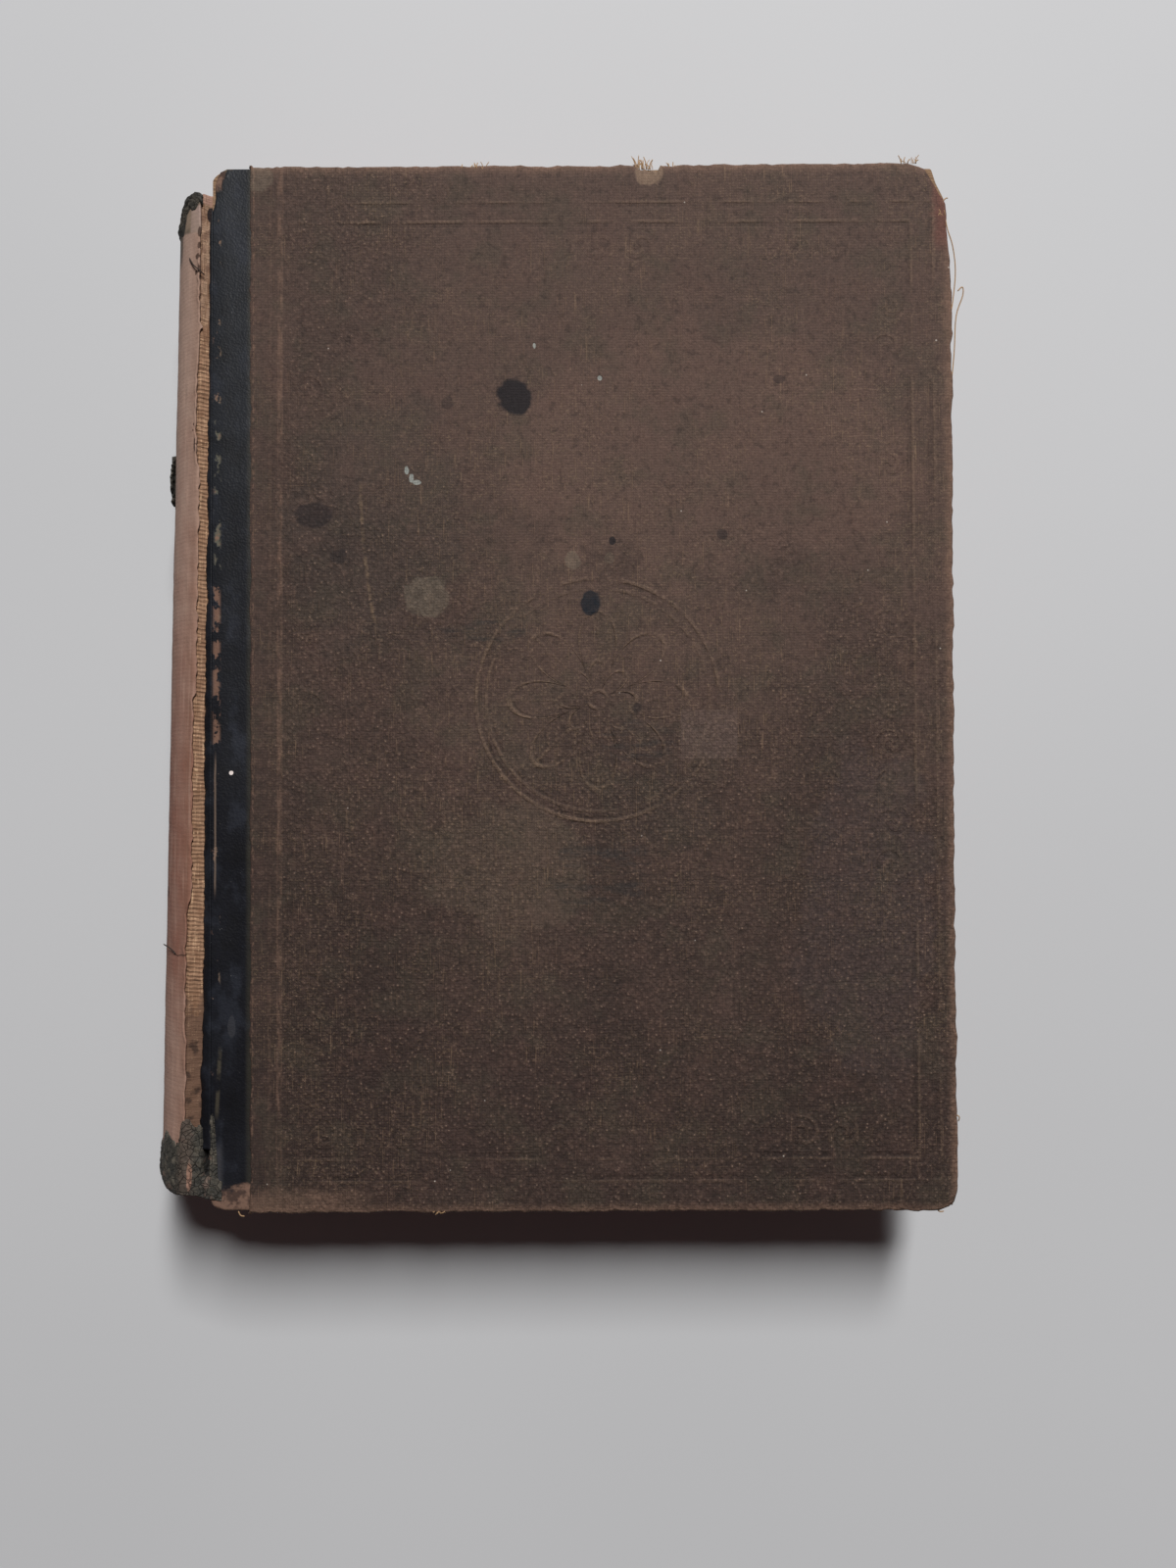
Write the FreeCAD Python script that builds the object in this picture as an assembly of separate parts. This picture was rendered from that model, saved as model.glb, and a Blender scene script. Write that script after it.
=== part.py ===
import FreeCAD, Part
import math
import os

# A worn hardback book, closed and lying on its back cover, in millimetres.
#
# Frame: the origin is the centre of the back cover's outer face, +X runs from the spine to the fore-
# edge, +Y from the tail to the head, and +Z up through the pages. The book is a case binding. Each
# cover is a board wrapped in cloth with turned-in edges, a leather-cloth strip along its spine edge,
# a canvas flange and a pastedown inside. The text block is rounded and backed: its spine is an arc
# between two raised shoulders, its fore-edge is hollow, and three sewing cords are let into its back.
# Canvas (mull) and a lining are glued round the spine, and what is left of the old spine covering is
# a cap at each end and one lifted scrap.

# Boards and what wraps them
BOARD_WIDTH = 142.0  # covered board, spine edge to fore-edge
BOARD_HEIGHT = 200.0  # covered board, tail to head
BOARD_THICKNESS = 2.4
CLOTH_THICKNESS = 0.4
STRIP_THICKNESS = 0.35
STRIP_WIDTH = 12.8  # of the strip on the board, with the part that the cloth hides
STRIP_SHOWS_HEAD = 7.7
STRIP_SHOWS_TAIL = 8.0
TURN_IN = 13.0  # cloth and strip folded on to the board's inner face
MITRE_SLIT = 0.3
CORNER_RADIUS = 3.5
ARRIS_RADIUS = 0.9  # worn outer edge of the cloth
BOARD_ARRIS = 0.5  # bevel under it
INNER_ARRIS = 0.3  # bevel at the inner face

# Paper and canvas inside the covers
PASTEDOWN_THICKNESS = 0.2
PASTEDOWN_MARGIN = 3.5
PASTEDOWN_STEP = 0.6  # run of the paper down from the turn-ins to the board
FLANGE_WIDTH = 25.0
FLANGE_MARGIN = 7.0  # from the board's head and tail
FLYLEAF_THICKNESS = 0.2

# Text block
PAGES_THICKNESS = 20.8
SQUARE = 3.0  # how far the boards stand out past the pages at the fore-edge
END_SQUARE = 4.2  # and at the head and tail, before the pages sank
SINK = 1.5  # how far the pages have sunk towards the tail between the covers
JOINT_GAP = 3.2  # board's spine edge to the tip of the shoulder
ROUNDING = 7.0  # height of the spine's arc above its shoulders
FORE_EDGE_HOLLOW = 6.0
SHOULDER_RISE = 1.8
SHOULDER_WIDTH = 1.0

# Spine layers
MULL_THICKNESS = 0.35
MULL_MARGIN = 1.0
LINING_THICKNESS = 0.45
GLUE_LINE = 0.05  # between one layer of the spine and the next
LINING_MARGIN = 0.5
LINING_STOP = 0.2  # the lining ends this far behind the shoulder's tip
CORD_DIAMETER = 1.4
CORD_CLEARANCE = 0.03
CORD_SIDES = 8
CORD_REACH_DEG = 46.0  # each side of the middle of the spine
CORD_SPACING = 50.0

# What is left of the spine covering
COVERING_THICKNESS = 0.4
HEAD_CAP_LENGTH = 5.5
HEAD_CAP_OVERHANG = 0.6
HEAD_CAP_REACH_DEG = 52.0
TAIL_CAP_LENGTH = 13.0
TAIL_CAP_OVERHANG = 0.9
TAIL_CAP_REACH_DEG = 52.0
TAIL_FLAP_RISE = 0.6  # the top of the flap in the joint lies this far above the hinge
SCRAP_LENGTH = 14.5
SCRAP_MIDDLE_Y = 42.6
SCRAP_FROM_DEG = -50.0
SCRAP_TO_DEG = 10.0
SCRAP_LIFT = 1.2

# The front cover as it has shifted and been damaged
FRONT_SKEW_DEG = 0.95
JOINT_CLEARANCE = 0.3
BREAK_WIDTH = 3.4  # broken corner, along the head edge
BREAK_LENGTH = 16.5  # broken corner, down the fore-edge
CHIP_X = 13.6
CHIP_WIDTH = 6.4
CHIP_DEPTH = 3.2

# Sizes worked out from those above
SPINE_EDGE = -BOARD_WIDTH / 2
FORE_EDGE = BOARD_WIDTH / 2
HALF_HEIGHT = BOARD_HEIGHT / 2
BOARD_INNER = PASTEDOWN_THICKNESS + CLOTH_THICKNESS
BOARD_OUTER = BOARD_INNER + BOARD_THICKNESS
COVER_THICKNESS = BOARD_OUTER + CLOTH_THICKNESS
BLOCK_BOTTOM = COVER_THICKNESS + FLYLEAF_THICKNESS
BLOCK_TOP = BLOCK_BOTTOM + PAGES_THICKNESS
FRONT_INNER = BLOCK_TOP + FLYLEAF_THICKNESS
MIDDLE_Z = (BLOCK_BOTTOM + BLOCK_TOP) / 2
BLOCK_HALF_HEIGHT = HALF_HEIGHT - END_SQUARE
BLOCK_FORE = FORE_EDGE - SQUARE
SHOULDER_X = SPINE_EDGE - JOINT_GAP
SHOULDER_FOOT = SHOULDER_X + SHOULDER_WIDTH
SHOULDER_TOP = BLOCK_TOP + SHOULDER_RISE
SHOULDER_BOTTOM = BLOCK_BOTTOM - SHOULDER_RISE
SPINE_CHORD = SHOULDER_TOP - SHOULDER_BOTTOM
SPINE_RADIUS = (SPINE_CHORD**2 / 4 + ROUNDING**2) / (2 * ROUNDING)
SPINE_CENTRE_X = SHOULDER_X - ROUNDING + SPINE_RADIUS
MULL_OUTSIDE = GLUE_LINE + MULL_THICKNESS
LINING_INSIDE = MULL_OUTSIDE + GLUE_LINE
LINED_RADIUS = SPINE_RADIUS + LINING_INSIDE + LINING_THICKNESS + GLUE_LINE
HINGE_Z = SHOULDER_TOP + 0.7
FAR = 4 * BOARD_HEIGHT  # longer than anything that a cutting tool has to pass through


def point(x, z):
    """A point of the book's cross-section, which lies in the XZ plane."""
    return FreeCAD.Vector(x, 0, z)


def slab(x0, x1, y0, y1, z0, z1):
    """A box between three pairs of limits."""
    return Part.makeBox(x1 - x0, y1 - y0, z1 - z0, FreeCAD.Vector(x0, y0, z0))


def prism_from_plan(corners, z0, z1):
    """A straight-sided solid over a polygon in plan."""
    wire = Part.makePolygon([FreeCAD.Vector(x, y, z0) for x, y in corners + corners[:1]])
    return Part.Face(wire).extrude(FreeCAD.Vector(0, 0, z1 - z0))


def along_y(face, y0, y1):
    """A cross-section carried from y0 to y1."""
    placed = face.copy()
    placed.translate(FreeCAD.Vector(0, y0, 0))
    return placed.extrude(FreeCAD.Vector(0, y1 - y0, 0))


def upright_edges(solid):
    """The edges that run along Z."""
    height = solid.BoundBox.ZLength
    upright = []
    for edge in solid.Edges:
        box = edge.BoundBox
        if box.ZLength > 0.999 * height and box.DiagonalLength < 1.001 * height:
            upright.append(edge)
    return upright


def rim_edges(solid, z):
    """The edges that lie in the plane at height z."""
    return [e for e in solid.Edges if e.BoundBox.ZLength < 1e-6 and abs(e.BoundBox.ZMin - z) < 1e-6]


def worn_plate(x1, half_height, z0, z1, corner):
    """A plate from the spine edge to x1, with corners worn round in plan and a bevelled inner rim."""
    plate = slab(SPINE_EDGE, x1, -half_height, half_height, z0, z1)
    plate = plate.makeFillet(corner, upright_edges(plate))
    return plate.makeChamfer(INNER_ARRIS, rim_edges(plate, z0))


def strip_zone():
    """Where the strip lies round a board: its outer face, three edges, and two turn-ins."""
    reach = SPINE_EDGE + STRIP_WIDTH
    edge_y = HALF_HEIGHT - CLOTH_THICKNESS - STRIP_THICKNESS
    fold_y = HALF_HEIGHT - TURN_IN
    zone = slab(SPINE_EDGE, reach, -FAR, FAR, BOARD_OUTER - STRIP_THICKNESS, BOARD_OUTER)
    zone = zone.fuse(slab(SPINE_EDGE, SPINE_EDGE + STRIP_THICKNESS, -FAR, FAR, BOARD_INNER, BOARD_OUTER))
    for side in (-1, 1):
        edge = sorted((side * edge_y, side * FAR))
        fold = sorted((side * fold_y, side * FAR))
        zone = zone.fuse(slab(SPINE_EDGE, reach, edge[0], edge[1], BOARD_INNER, BOARD_OUTER))
        turn_in_top = BOARD_INNER + STRIP_THICKNESS
        zone = zone.fuse(slab(SPINE_EDGE, reach, fold[0], fold[1], BOARD_INNER, turn_in_top))
    return zone


def cloth_wrap(plain_board):
    """Cloth over the board's outer face and three edges, its turn-ins mitred at the fore-edge."""
    wrap = worn_plate(FORE_EDGE, HALF_HEIGHT, PASTEDOWN_THICKNESS, COVER_THICKNESS, CORNER_RADIUS)
    wrap = wrap.makeFillet(ARRIS_RADIUS, rim_edges(wrap, COVER_THICKNESS))
    shows_head = SPINE_EDGE + STRIP_SHOWS_HEAD
    shows_tail = SPINE_EDGE + STRIP_SHOWS_TAIL
    slope = (shows_head - shows_tail) / BOARD_HEIGHT
    bare = [
        (shows_tail - slope * (FAR - HALF_HEIGHT), -FAR),
        (shows_head + slope * (FAR - HALF_HEIGHT), FAR),
        (-FAR, FAR),
        (-FAR, -FAR),
    ]
    wrap = wrap.cut(prism_from_plan(bare, 0, COVER_THICKNESS)).cut(plain_board)
    fold_x = FORE_EDGE - TURN_IN
    fold_y = HALF_HEIGHT - TURN_IN
    wrap = wrap.cut(slab(-FAR, fold_x, -fold_y, fold_y, 0, BOARD_INNER))
    for side in (-1, 1):
        slit = slab(-TURN_IN, 0, -MITRE_SLIT / 2, MITRE_SLIT / 2, 0, BOARD_INNER)
        slit.rotate(FreeCAD.Vector(0, 0, 0), FreeCAD.Vector(0, 0, 1), side * 45)
        inset = CORNER_RADIUS / 2
        slit.translate(FreeCAD.Vector(FORE_EDGE - inset, side * (HALF_HEIGHT - inset), 0))
        wrap = wrap.cut(slit)
    return wrap


def pastedown_sheet(pieces_above):
    """The paper pasted inside a cover: flat over the turn-ins, stepped down to the board inside them."""
    sheet = slab(
        SPINE_EDGE + STRIP_THICKNESS,
        FORE_EDGE - PASTEDOWN_MARGIN,
        -(HALF_HEIGHT - PASTEDOWN_MARGIN),
        HALF_HEIGHT - PASTEDOWN_MARGIN,
        0,
        BOARD_INNER,
    )
    x0 = SPINE_EDGE + FLANGE_WIDTH
    x1 = FORE_EDGE - TURN_IN
    y1 = HALF_HEIGHT - TURN_IN
    rings = []
    for inset, z in ((PASTEDOWN_THICKNESS, 0), (PASTEDOWN_THICKNESS + PASTEDOWN_STEP, CLOTH_THICKNESS)):
        low = (x0 + inset, -y1 + inset)
        high = (x1 - inset, y1 - inset)
        corners = [low, (high[0], low[1]), high, (low[0], high[1])]
        rings.append(Part.makePolygon([FreeCAD.Vector(x, y, z) for x, y in corners + corners[:1]]))
    sheet = sheet.cut(Part.makeLoft(rings, True, True))
    for piece in pieces_above:
        sheet = sheet.cut(piece)
    return sheet


def make_cover():
    """One undamaged cover, inner face at z = 0 and outer face up, as a dict of its pieces."""
    plain_board = worn_plate(
        FORE_EDGE - CLOTH_THICKNESS,
        HALF_HEIGHT - CLOTH_THICKNESS,
        BOARD_INNER,
        BOARD_OUTER,
        CORNER_RADIUS - CLOTH_THICKNESS,
    )
    plain_board = plain_board.makeChamfer(BOARD_ARRIS, rim_edges(plain_board, BOARD_OUTER))
    zone = strip_zone()
    board = plain_board.cut(zone)
    strip = plain_board.common(zone)
    cloth = cloth_wrap(plain_board)
    flange_y = HALF_HEIGHT - FLANGE_MARGIN
    flange = slab(
        SPINE_EDGE + STRIP_THICKNESS,
        SPINE_EDGE + FLANGE_WIDTH,
        -flange_y,
        flange_y,
        BOARD_INNER - MULL_THICKNESS,
        BOARD_INNER,
    ).cut(cloth)
    pastedown = pastedown_sheet([board, strip, cloth, flange])
    return {
        "board": board,
        "cloth": cloth,
        "spine_strip": strip,
        "mull_flange": flange,
        "pastedown": pastedown,
    }


def broken_corner():
    """What has broken off the front cover where its head meets its fore-edge."""
    corner = (FORE_EDGE, HALF_HEIGHT)
    break_line = [
        (corner[0] - BREAK_WIDTH, corner[1]),
        (corner[0] - 0.68 * BREAK_WIDTH, corner[1] - 0.21 * BREAK_LENGTH),
        (corner[0] - 0.18 * BREAK_WIDTH, corner[1] - 0.42 * BREAK_LENGTH),
        (corner[0], corner[1] - BREAK_LENGTH),
    ]
    beyond = corner[0] + 1, corner[1] + 1
    outside = [(beyond[0], break_line[-1][1]), beyond, (break_line[0][0], beyond[1])]
    return prism_from_plan(break_line + outside, -1, COVER_THICKNESS + 1)


def edge_chip():
    """Cloth torn off the front cover's head edge, which leaves the board bare."""
    return slab(
        CHIP_X - CHIP_WIDTH / 2,
        CHIP_X + CHIP_WIDTH / 2,
        HALF_HEIGHT - CHIP_DEPTH,
        FAR,
        BOARD_OUTER - BOARD_THICKNESS / 2,
        FAR,
    )


def place_front(cover):
    """The front cover on top of the block, turned a little in its plane as its joint lets it shift."""
    placed = {}
    for name, shape in cover.items():
        if name in ("board", "cloth"):
            shape = shape.cut(broken_corner())
        if name == "cloth":
            shape = shape.cut(edge_chip())
        moved = shape.copy()
        moved.translate(FreeCAD.Vector(0, 0, FRONT_INNER))
        moved.rotate(FreeCAD.Vector(0, 0, 0), FreeCAD.Vector(0, 0, 1), FRONT_SKEW_DEG)
        placed["front_" + name] = moved
    return placed


def place_back(cover):
    """The back cover, outer face down on z = 0."""
    placed = {}
    for name, shape in cover.items():
        moved = shape.copy()
        moved.translate(FreeCAD.Vector(0, 0, FRONT_INNER))
        placed["back_" + name] = moved.mirror(FreeCAD.Vector(0, 0, MIDDLE_Z), FreeCAD.Vector(0, 0, 1))
    return placed


def block_section():
    """Cross-section of the rounded and backed text block."""
    top = [
        point(BLOCK_FORE, BLOCK_TOP),
        point(SHOULDER_FOOT, BLOCK_TOP),
        point(SHOULDER_X, SHOULDER_TOP),
    ]
    bottom = [
        point(SHOULDER_X, SHOULDER_BOTTOM),
        point(SHOULDER_FOOT, BLOCK_BOTTOM),
        point(BLOCK_FORE, BLOCK_BOTTOM),
    ]
    spine = Part.Arc(top[2], point(SHOULDER_X - ROUNDING, MIDDLE_Z), bottom[0])
    hollow = Part.Arc(bottom[2], point(BLOCK_FORE - FORE_EDGE_HOLLOW, MIDDLE_Z), top[0])
    edges = [
        Part.makeLine(top[0], top[1]),
        Part.makeLine(top[1], top[2]),
        spine.toShape(),
        Part.makeLine(bottom[0], bottom[1]),
        Part.makeLine(bottom[1], bottom[2]),
        hollow.toShape(),
    ]
    return Part.Face(Part.Wire(edges))


def round_spine(section, from_deg, to_deg):
    """A section at the middle of the spine, carried round its arc between two angles."""
    centre = FreeCAD.Vector(SPINE_CENTRE_X, 0, MIDDLE_Z)
    axis = FreeCAD.Vector(0, 1, 0)
    start = section.copy()
    start.rotate(centre, axis, from_deg)
    return start.revolve(centre, axis, to_deg - from_deg)


def ring_segment(corners, y):
    """A section given from the cord's middle, carried round the spine at height y of the book."""
    x = SPINE_CENTRE_X - SPINE_RADIUS + CORD_DIAMETER / 2
    placed = [FreeCAD.Vector(x + dx, y + dy, MIDDLE_Z) for dx, dy in corners]
    return round_spine(Part.Face(Part.makePolygon(placed + placed[:1])), -CORD_REACH_DEG, CORD_REACH_DEG)


def cord_section(radius):
    """The corners of a cord's many-sided section, with a flat side towards the spine's surface."""
    turns = [2 * math.pi * (side + 0.5) / CORD_SIDES for side in range(CORD_SIDES)]
    return [(radius * math.cos(turn), radius * math.sin(turn)) for turn in turns]


def cord_groove(y):
    """The sawn groove that holds a cord: the cord's section with its clearance, open to the back."""
    around = cord_section(CORD_DIAMETER / 2 + CORD_CLEARANCE)
    half_width = max(dy for dx, dy in around)
    out = -CORD_DIAMETER
    mouth = [(0, -half_width), (0, half_width), (out, half_width), (out, -half_width)]
    return ring_segment(around, y).fuse(ring_segment(mouth, y))


def spine_layer(section, inside, outside, edge_x, half_length):
    """A layer glued round the spine between two offsets of the block's section, as far as edge_x."""
    outer = along_y(section.makeOffset2D(outside), -half_length, half_length)
    layer = outer.cut(along_y(section.makeOffset2D(inside), -half_length, half_length))
    return layer.common(slab(-FAR, edge_x, -FAR, FAR, -FAR, FAR))


def covering_cap(side, length, overhang, reach_deg):
    """The covering left at one end of the spine, folded in over the lining; side is +1 at the head."""
    end = BLOCK_HALF_HEIGHT + overhang
    outer = LINED_RADIUS + COVERING_THICKNESS
    fold = COVERING_THICKNESS * 1.5
    hook = [
        (LINED_RADIUS, end - length),
        (outer, end - length),
        (outer, end - fold),
        (outer - fold, end),
        (SPINE_RADIUS - fold, end),
        (SPINE_RADIUS - fold, BLOCK_HALF_HEIGHT),
        (SPINE_RADIUS + COVERING_THICKNESS, BLOCK_HALF_HEIGHT),
        (SPINE_RADIUS + COVERING_THICKNESS, end - COVERING_THICKNESS),
        (LINED_RADIUS, end - COVERING_THICKNESS - (LINED_RADIUS - SPINE_RADIUS - COVERING_THICKNESS)),
    ]
    corners = [FreeCAD.Vector(SPINE_CENTRE_X - r, side * y, MIDDLE_Z) for r, y in hook]
    section = Part.Face(Part.makePolygon(corners + corners[:1]))
    return round_spine(section, -reach_deg, reach_deg)


def front_edge_x(y):
    """Where the skewed front cover's spine edge stands at height y of the book."""
    skew = math.radians(FRONT_SKEW_DEG)
    return SPINE_EDGE / math.cos(skew) - y * math.tan(skew)


def tail_flap():
    """The tail cap's covering where it crosses the joint towards the front board."""
    inner_y = -(BLOCK_HALF_HEIGHT + TAIL_CAP_OVERHANG - TAIL_CAP_LENGTH)
    outer_y = -(BLOCK_HALF_HEIGHT + TAIL_CAP_OVERHANG)
    end = math.radians(TAIL_CAP_REACH_DEG)
    root = math.radians(TAIL_CAP_REACH_DEG - 1)
    outer = LINED_RADIUS + COVERING_THICKNESS
    top = HINGE_Z + TAIL_FLAP_RISE
    corners = [
        point(SPINE_CENTRE_X - LINED_RADIUS * math.cos(root), MIDDLE_Z + LINED_RADIUS * math.sin(root)),
        point(SPINE_CENTRE_X - outer * math.cos(root), MIDDLE_Z + outer * math.sin(root)),
        point(SPINE_CENTRE_X - outer * math.cos(end), MIDDLE_Z + outer * math.sin(end)),
        point(SHOULDER_X - LINING_STOP - COVERING_THICKNESS / 2, top),
        point(0, top),
        point(0, top - COVERING_THICKNESS),
        point(SHOULDER_X - LINING_STOP, top - COVERING_THICKNESS),
    ]
    flap = along_y(Part.Face(Part.makePolygon(corners + corners[:1])), outer_y, inner_y)
    beyond = [
        (front_edge_x(outer_y - SINK) - JOINT_CLEARANCE, outer_y),
        (1, outer_y),
        (1, inner_y),
        (front_edge_x(inner_y - SINK) - JOINT_CLEARANCE, inner_y),
    ]
    flap = flap.cut(prism_from_plan(beyond, 0, top + 1))
    return flap.cut(lined_spine())


def lined_spine():
    """What the lining and all inside it fill behind the shoulders, for cutting what is glued over it."""
    start = FreeCAD.Vector(SPINE_CENTRE_X, -FAR, MIDDLE_Z)
    whole = Part.makeCylinder(LINED_RADIUS, 2 * FAR, start, FreeCAD.Vector(0, 1, 0))
    return whole.common(slab(-FAR, SHOULDER_X - LINING_STOP, -FAR, FAR, -FAR, FAR))


def spine_scrap():
    """The scrap of covering on the far side of the spine, glued low down and lifted at its top."""
    half = SCRAP_LENGTH / 2
    middle_deg = (SCRAP_FROM_DEG + SCRAP_TO_DEG) / 2

    def spot(deg, lift):
        angle = math.radians(deg)
        radius = LINED_RADIUS + lift
        return point(SPINE_CENTRE_X - radius * math.cos(angle), MIDDLE_Z + radius * math.sin(angle))

    def curve(lift):
        ends = spot(SCRAP_FROM_DEG, lift), spot(SCRAP_TO_DEG, lift + SCRAP_LIFT)
        return Part.Arc(ends[0], spot(middle_deg, lift + SCRAP_LIFT / 4), ends[1]).toShape(), ends

    near, near_ends = curve(0)
    far, far_ends = curve(COVERING_THICKNESS)
    sides = [Part.makeLine(near_ends[0], far_ends[0]), Part.makeLine(near_ends[1], far_ends[1])]
    section = Part.Face(Part.Wire(Part.sortEdges([near, far] + sides)[0]))
    scrap = along_y(section, SCRAP_MIDDLE_Y - half, SCRAP_MIDDLE_Y + half)
    return scrap.cut(lined_spine())


def make_block():
    """The text block with everything that is glued to it, sunk towards the tail."""
    section = block_section()
    pages = along_y(section, -BLOCK_HALF_HEIGHT, BLOCK_HALF_HEIGHT)
    pieces = {}
    cords = {"head": CORD_SPACING, "middle": 0, "tail": -CORD_SPACING}
    for name, y in cords.items():
        pieces["sewing_cord_" + name] = ring_segment(cord_section(CORD_DIAMETER / 2), y)
        pages = pages.cut(cord_groove(y))
    pieces["text_block"] = pages
    for name, z in (("front_flyleaf", BLOCK_TOP), ("back_flyleaf", BLOCK_BOTTOM - FLYLEAF_THICKNESS)):
        pieces[name] = slab(
            SHOULDER_FOOT, BLOCK_FORE, -BLOCK_HALF_HEIGHT, BLOCK_HALF_HEIGHT, z, z + FLYLEAF_THICKNESS
        )
    pieces["spine_mull"] = spine_layer(
        section, GLUE_LINE, MULL_OUTSIDE, SHOULDER_FOOT, BLOCK_HALF_HEIGHT - MULL_MARGIN
    )
    pieces["spine_lining"] = spine_layer(
        section,
        LINING_INSIDE,
        LINING_INSIDE + LINING_THICKNESS,
        SHOULDER_X - LINING_STOP,
        BLOCK_HALF_HEIGHT - LINING_MARGIN,
    )
    pieces["head_cap"] = covering_cap(1, HEAD_CAP_LENGTH, HEAD_CAP_OVERHANG, HEAD_CAP_REACH_DEG)
    tail_cap = covering_cap(-1, TAIL_CAP_LENGTH, TAIL_CAP_OVERHANG, TAIL_CAP_REACH_DEG)
    pieces["tail_cap"] = tail_cap.fuse(tail_flap()).removeSplitter()
    pieces["spine_scrap"] = spine_scrap()
    for piece in pieces.values():
        piece.translate(FreeCAD.Vector(0, -SINK, 0))
    return pieces


def main():
    cover = make_cover()
    pieces = {}
    pieces.update(make_block())
    pieces.update(place_front(cover))
    pieces.update(place_back(cover))
    os.makedirs("parts", exist_ok=True)
    for name, shape in sorted(pieces.items()):
        solids = shape.Solids
        print(f"{name:22s} {len(solids)} solid  {shape.Volume:10.1f} mm3  valid {shape.isValid()}")
        shape.exportStep(f"parts/{name}.step")


main()
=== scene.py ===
import functools
import math

import bmesh
import bpy
import numpy as np
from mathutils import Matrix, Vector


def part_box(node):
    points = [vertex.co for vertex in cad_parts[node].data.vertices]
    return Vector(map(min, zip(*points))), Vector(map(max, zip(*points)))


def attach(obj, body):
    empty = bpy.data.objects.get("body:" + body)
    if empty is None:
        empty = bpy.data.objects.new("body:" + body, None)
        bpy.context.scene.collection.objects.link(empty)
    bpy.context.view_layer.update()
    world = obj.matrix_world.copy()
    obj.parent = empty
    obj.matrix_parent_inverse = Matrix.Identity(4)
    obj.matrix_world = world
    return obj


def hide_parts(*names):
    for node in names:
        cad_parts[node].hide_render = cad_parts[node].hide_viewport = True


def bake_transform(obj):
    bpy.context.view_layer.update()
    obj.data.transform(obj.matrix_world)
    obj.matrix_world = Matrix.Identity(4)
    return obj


bl_info = {
    "name": "Worn Hardback Book",
    "version": (1, 0, 0),
    "blender": (4, 5, 0),
    "location": "View3D > Sidebar > Book",
    "description": "Dresses the solids of a worn hardback book in cloth, leather-cloth, mull and paper",
    "category": "Object",
}

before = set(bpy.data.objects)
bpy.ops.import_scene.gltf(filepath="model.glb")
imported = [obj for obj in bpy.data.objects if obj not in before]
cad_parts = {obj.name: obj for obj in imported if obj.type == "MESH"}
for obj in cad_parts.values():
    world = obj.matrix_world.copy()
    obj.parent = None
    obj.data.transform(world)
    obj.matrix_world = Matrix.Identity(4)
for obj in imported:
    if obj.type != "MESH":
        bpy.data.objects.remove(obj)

MM = 0.001


def box_corners(node):
    """The lowest and the highest corner of a node's box, in millimetres."""
    return [np.array(corner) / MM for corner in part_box(node)]


PAGES_LOW, PAGES_HIGH = box_corners("text_block")
STRIP_LOW, STRIP_HIGH = box_corners("back_spine_strip")
FLYLEAF_LOW, FLYLEAF_HIGH = box_corners("front_flyleaf")

SPINE_EDGE = float(STRIP_LOW[0])
FORE_EDGE, HALF_HEIGHT = (float(v) for v in box_corners("back_cloth")[1][:2])
BOOK_TOP = float(box_corners("front_cloth")[1][2])
FRONT_INNER = float(FLYLEAF_HIGH[2])
COVER = BOOK_TOP - FRONT_INNER
CLOTH = float(STRIP_LOW[2])
BOARD_INNER = COVER - float(STRIP_HIGH[2])
MIDDLE_Z = float(PAGES_LOW[2] + PAGES_HIGH[2]) / 2
BLOCK_HALF = float(PAGES_HIGH[1] - PAGES_LOW[1]) / 2
BLOCK_Y = float(PAGES_HIGH[1] + PAGES_LOW[1]) / 2
FAR = 999.0  # beyond any edge
SKEW = math.radians(0.95)  # how far the front cover is turned on the pages
BOARD, PASTEDOWN = 2.4, 0.2  # thicknesses
SHOULDER_FOOT = -73.2
TIP_X, TIP_RISE = -74.2, float(PAGES_HIGH[2]) - MIDDLE_Z
ROUNDING = TIP_X - float(PAGES_LOW[0])
SPINE_RADIUS = (TIP_RISE**2 + ROUNDING**2) / (2 * ROUNDING)
SPINE_X = TIP_X - ROUNDING + SPINE_RADIUS
TIP_ANGLE = math.asin(TIP_RISE / SPINE_RADIUS)
LINING_OUT = 0.9  # the lining's outer face, from the pages
MULL_OUT = 0.42  # the mull's outer face, from the pages
LINED = SPINE_RADIUS + LINING_OUT
TIP_ARC = LINED * TIP_ANGLE
INNER_ARRIS = 0.3  # radius of the sheets over a cover's inner edges
SKIN = 0.3  # thickness of the sheets that dress the solids


def srgb(red, green, blue):
    """A colour given as 0 to 255 on screen, as the linear values that a shader takes."""
    screen = np.array([red, green, blue]) / 255
    linear = np.where(screen <= 0.04045, screen / 12.92, ((screen + 0.055) / 1.055) ** 2.4)
    return tuple(float(v) for v in linear)


def colour(name, description, *rgb):
    return bpy.props.FloatVectorProperty(
        name=name, description=description, subtype="COLOR", size=3, min=0, max=1, default=srgb(*rgb)
    )


def length(name, description, default):
    return bpy.props.FloatProperty(
        name=name, description=description, default=default * MM, unit="LENGTH", precision=4
    )


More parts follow.
